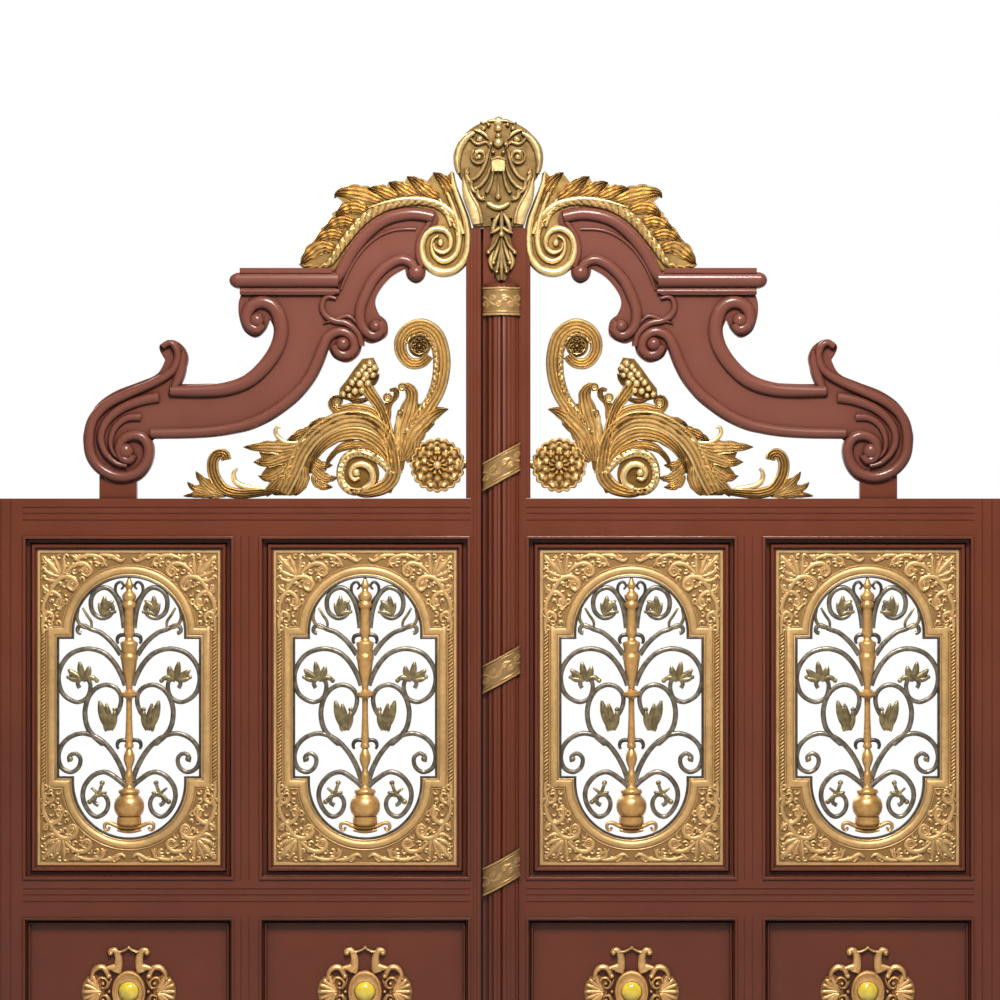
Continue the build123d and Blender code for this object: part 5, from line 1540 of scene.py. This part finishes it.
def medallion(name, body, node, boss_node):
    """Gilt scrolled ornament and its boss on a lower panel."""
    centre = panel_box(node)[0]
    back = span(node)[1][1]
    base = -back * 1000
    casting = Casting(centre, 1, two_faced=False, back=back)
    for hand, up in ((1, 1), (-1, 1), (1, -1), (-1, -1)):
        for points, widths, rise, taper in MEDALLION_STROKES:
            casting.ribbon(mirrored(points, hand, up), widths, base, rise, 5.5, 6, taper=taper)
        for x, z, radius, rise in MEDALLION_BALLS:
            casting.ball((hand * x, up * z), radius, base, rise, 5, 14)
        casting.plate(mirrored(SHELL_PLATE, hand, up), [], base + 5.5, 0.15)
    for hand in (1, -1):
        casting.ribbon(mirrored(SHELL_RIB, hand), (10, 22, 14), base, 14, taper=0.1)
        casting.ball((hand * 78, 0), 8, base, 15, 5, 14)
        casting.ball((0, hand * 176), 8, base, 16, 5, 14)

    def oval(offset):
        return [((BOSS_RADIUS + offset) * cos(a), (BOSS_RADIUS + offset * 1.7) * sin(a))
                for a in np.linspace(0, 2 * pi, 48, endpoint=False)]
    casting.ring(oval, [(offset, base + rise) for offset, rise in RING_PROFILE])
    casting.finish(name, "gate_rose", body, "gilt", (node,))
    low, high = span(boss_node)
    boss = Casting(centre, 1, two_faced=False, back=high[1])
    boss.disc((0, 0), BOSS_EDGE, base, -low[1] * 1000 - base, boss_dome, 12, 48)
    boss.finish(f"{name}_dome", "gate_amber", body, "amber_boss", (boss_node,), smooth=60)


# Studio

LENS, SENSOR, VIEW_WIDTH = 150.0, 36.0, 4.0
AIM = (0.007, 2.450)
ROOM_SIDE, ROOM_NEAR, ROOM_FAR, ROOM_HEIGHT = 40, -40, 30, 40
FADE_START, FADE_END = 2.0, 9.0
FLOOR_GLOW = 0.8
SKY_LIGHT, SKY_SEEN = 0.15, 1.0
LAMPS = (
    ("key", (0.4, -5.0, 7.4), (0.0, 0.0, 3.0), 2.0, 1090.0, (1.0, 0.98, 0.95)),
    ("fill", (-5.0, -10.0, 7.0), (0.0, 0.0, 3.0), 5.0, 60.0, (1.0, 1.0, 1.0)),
    ("back", (-3.0, 7.0, 7.0), (0.0, 0.0, 2.0), 5.0, 560.0, (1.0, 1.0, 1.0)),
)


def studio_surface(name, points, base, glow):
    """One flat stage surface that looks white to the camera, and wholly so far behind the gate."""
    surface = Finish(name, Base_Color=(*base, 1), Roughness=0.9)
    rays = surface.add("ShaderNodeLightPath").outputs
    seen = surface.math("MAXIMUM", rays["Is Camera Ray"], rays["Is Glossy Ray"])
    seen = surface.math("MAXIMUM", seen, rays["Is Transmission Ray"])
    place = surface.add("ShaderNodeSeparateXYZ", [("Vector", surface.place)])
    fade = surface.add("ShaderNodeMapRange", [("Value", place.outputs["Y"]), ("From Min", FADE_START),
                                              ("From Max", FADE_END), ("To Min", glow), ("To Max", 1.0)])
    light = surface.add("ShaderNodeEmission", [("Strength", 1.0)])
    mix = surface.add("ShaderNodeMixShader", [(0, surface.math("MULTIPLY", seen, fade.outputs[0])),
                                              (1, surface.shader.outputs[0]), (2, light.outputs[0])])
    links = surface.material.node_tree.links
    links.new(mix.outputs[0], surface.nodes["Material Output"].inputs["Surface"])
    mesh = bpy.data.meshes.new(name)
    mesh.from_pydata(points, [], [(0, 1, 2, 3)])
    mesh.materials.append(surface.material)
    stage = bpy.data.objects.new(name, mesh)
    bpy.context.scene.collection.objects.link(stage)
    return stage


def lamp(name, place, aim, size, power, tint):
    """Soft square lamp turned to a point."""
    light = bpy.data.lights.new(name, "AREA")
    light.shape = "SQUARE"
    light.size = size
    light.energy = power
    light.color = tint
    holder = bpy.data.objects.new(name, light)
    holder.location = place
    holder.rotation_euler = (Vector(aim) - Vector(place)).to_track_quat("-Z", "Y").to_euler()
    bpy.context.scene.collection.objects.link(holder)


# Operators

def panels():
    """Name and body of each pair of an upper and a lower panel."""
    return [(f"{leaf}_{place}", f"{leaf}_leaf") for leaf, _ in SIDES for place in PLACES]


class GateOperator:
    """What every operator of the gate shares."""
    bl_options = {"REGISTER", "UNDO"}


class GATE_OT_finishes(GateOperator, bpy.types.Operator):
    """Make the paint, gilt, bronze, amber and steel"""
    bl_idname = "gate.finishes"
    bl_label = "Finishes"

    def execute(self, context):
        make_finishes(context.scene.gate_colours)
        return {"FINISHED"}


class GATE_OT_mouldings(GateOperator, bpy.types.Operator):
    """Make the mouldings round the panels and the lower panels"""
    bl_idname = "gate.mouldings"
    bl_label = "Mouldings"

    def execute(self, context):
        for name, body in panels():
            moulding(f"{name}_moulding", body, f"{name}_bead", BEAD_PROFILE, False)
            moulding(f"{name}_lower_moulding", body, f"{name}_lower_panel", LOWER_PROFILE, True)
        return {"FINISHED"}


class GATE_OT_surrounds(GateOperator, bpy.types.Operator):
    """Make the pierced gilt surrounds with their carving and twisted borders"""
    bl_idname = "gate.surrounds"
    bl_label = "Gilt Surrounds"

    def execute(self, context):
        sizes = context.scene.gate_sizes
        tree = rope_tree(sizes, "gate_tan_plain")
        for name, body in panels():
            surround(f"{name}_carving", body, f"{name}_surround", sizes)
            twisted_border(f"{name}_border", body, f"{name}_surround", tree)
        return {"FINISHED"}


class GATE_OT_grilles(GateOperator, bpy.types.Operator):
    """Make the scroll grilles with their turned stems"""
    bl_idname = "gate.grilles"
    bl_label = "Grilles"

    def execute(self, context):
        sizes = context.scene.gate_sizes
        tree = bar_tree(sizes, "gate_bronze")
        for name, body in panels():
            grille(f"{name}_scrollwork", body, f"{name}_grille", sizes, tree)
        return {"FINISHED"}


class GATE_OT_crests(GateOperator, bpy.types.Operator):
    """Make the brown crests over the leaves"""
    bl_idname = "gate.crests"
    bl_label = "Crests"

    def execute(self, context):
        for leaf, side in SIDES:
            crest(f"{leaf}_crest", side, f"{leaf}_leaf")
        return {"FINISHED"}


class GATE_OT_acanthus(GateOperator, bpy.types.Operator):
    """Make the gilt acanthus on each arch"""
    bl_idname = "gate.acanthus"
    bl_label = "Acanthus"

    def execute(self, context):
        for leaf, side in SIDES:
            acanthus(f"{leaf}_acanthus", side, f"{leaf}_leaf", f"{leaf}_crest_acanthus")
        return {"FINISHED"}


class GATE_OT_spandrels(GateOperator, bpy.types.Operator):
    """Make the gilt scrollwork on the top rails"""
    bl_idname = "gate.spandrels"
    bl_label = "Spandrel Scrollwork"

    def execute(self, context):
        petals = context.scene.gate_sizes.petal_count
        for leaf, side in SIDES:
            spandrel(f"{leaf}_spandrel", side, f"{leaf}_leaf", f"{leaf}_spandrel_scroll", petals)
        return {"FINISHED"}


class GATE_OT_column(GateOperator, bpy.types.Operator):
    """Make the column's gilt bands and the round top ornament"""
    bl_idname = "gate.column"
    bl_label = "Column Ornaments"

    def execute(self, context):
        stile_trims()
        column_shaft("right_leaf")
        column_bands("right_leaf")
        cartouche("right_leaf")
        return {"FINISHED"}


class GATE_OT_medallions(GateOperator, bpy.types.Operator):
    """Make the gilt medallions and their amber bosses"""
    bl_idname = "gate.medallions"
    bl_label = "Medallions"

    def execute(self, context):
        for name, body in panels():
            medallion(f"{name}_rosette", body, f"{name}_medallion", f"{name}_boss")
        return {"FINISHED"}


class GATE_OT_framing(GateOperator, bpy.types.Operator):
    """Paint the framing and give hinges and bolts their steel"""
    bl_idname = "gate.framing"
    bl_label = "Framing and Hardware"

    def execute(self, context):
        slots = {row["node"]: row["material_slot"] for row in frame["record"]["subparts"]}
        finishes = {"mahogany_paint": "gate_paint", "gilt": "gate_tan_plain", "dark_bronze": "gate_bronze",
                    "amber_boss": "gate_amber", "steel": "gate_steel"}
        for node, holder in NODES.items():
            material = bpy.data.materials[finishes[slots[node]]]
            for place in holder.material_slots:
                place.material = material
            if not holder.material_slots:
                raise RuntimeError(f"{node} has no material slot")
        return {"FINISHED"}


class GATE_OT_stage(GateOperator, bpy.types.Operator):
    """Make the floor, backdrop, lamps and camera"""
    bl_idname = "gate.stage"
    bl_label = "Studio"

    def execute(self, context):
        scene = context.scene
        scene.view_settings.view_transform = "Standard"
        base = tuple(scene.gate_colours.floor)
        left, right = (-ROOM_SIDE, ROOM_FAR), (ROOM_SIDE, ROOM_FAR)
        near = [(-ROOM_SIDE, ROOM_NEAR, 0), (ROOM_SIDE, ROOM_NEAR, 0)]
        studio_surface("studio_floor", near + [(*right, 0), (*left, 0)], base, FLOOR_GLOW)
        studio_surface("studio_wall", [(*left, 0), (*right, 0), (*right, ROOM_HEIGHT), (*left, ROOM_HEIGHT)],
                       base, 1.0)
        world = bpy.data.worlds.new("studio")
        world.use_nodes = True
        scene.world = world
        nodes, links = world.node_tree.nodes, world.node_tree.links
        sky = nodes["Background"]
        sky.inputs["Color"].default_value = (1, 1, 1, 1)
        room = nodes.new("ShaderNodeLightPath")
        strength = nodes.new("ShaderNodeMapRange")
        strength.inputs["To Min"].default_value = SKY_LIGHT
        strength.inputs["To Max"].default_value = SKY_SEEN
        links.new(room.outputs["Is Camera Ray"], strength.inputs["Value"])
        links.new(strength.outputs[0], sky.inputs["Strength"])
        for settings in LAMPS:
            lamp(*settings)
        camera = bpy.data.cameras.new("camera")
        camera.lens = LENS
        camera.sensor_width = SENSOR
        camera.clip_end = 200.0
        holder = bpy.data.objects.new("camera", camera)
        holder.location = (AIM[0], -HALF_LEAF - VIEW_WIDTH * LENS / SENSOR, AIM[1])
        holder.rotation_euler = (pi / 2, 0, 0)
        scene.collection.objects.link(holder)
        scene.camera = holder
        return {"FINISHED"}


OPERATORS = (GATE_OT_stage, GATE_OT_finishes, GATE_OT_framing, GATE_OT_mouldings, GATE_OT_surrounds,
             GATE_OT_grilles, GATE_OT_crests, GATE_OT_acanthus, GATE_OT_spandrels, GATE_OT_column,
             GATE_OT_medallions)


class GATE_PT_sidebar(bpy.types.Panel):
    """Sizes, colours and steps of the gate"""
    bl_idname = "GATE_PT_sidebar"
    bl_label = "Ornamental Gate"
    bl_space_type = "VIEW_3D"
    bl_region_type = "UI"
    bl_category = "Gate"

    def draw(self, context):
        for operator in OPERATORS:
            self.layout.operator(operator.bl_idname)
        for group in (context.scene.gate_sizes, context.scene.gate_colours):
            for label in group.__annotations__:
                self.layout.prop(group, label)


CLASSES = (GateSizes, GateColours) + OPERATORS + (GATE_PT_sidebar,)


def register():
    """Make the gate's settings, steps and panel known."""
    for kind in CLASSES:
        bpy.utils.register_class(kind)
    bpy.types.Scene.gate_sizes = PointerProperty(type=GateSizes)
    bpy.types.Scene.gate_colours = PointerProperty(type=GateColours)


def unregister():
    """Take the gate's settings, steps and panel away."""
    del bpy.types.Scene.gate_colours
    del bpy.types.Scene.gate_sizes
    for kind in reversed(CLASSES):
        bpy.utils.unregister_class(kind)


def main():
    """Build everything."""
    register()
    for operator in OPERATORS:
        group, step = operator.bl_idname.split(".")
        getattr(getattr(bpy.ops, group), step)()


if __name__ == "__main__":
    main()
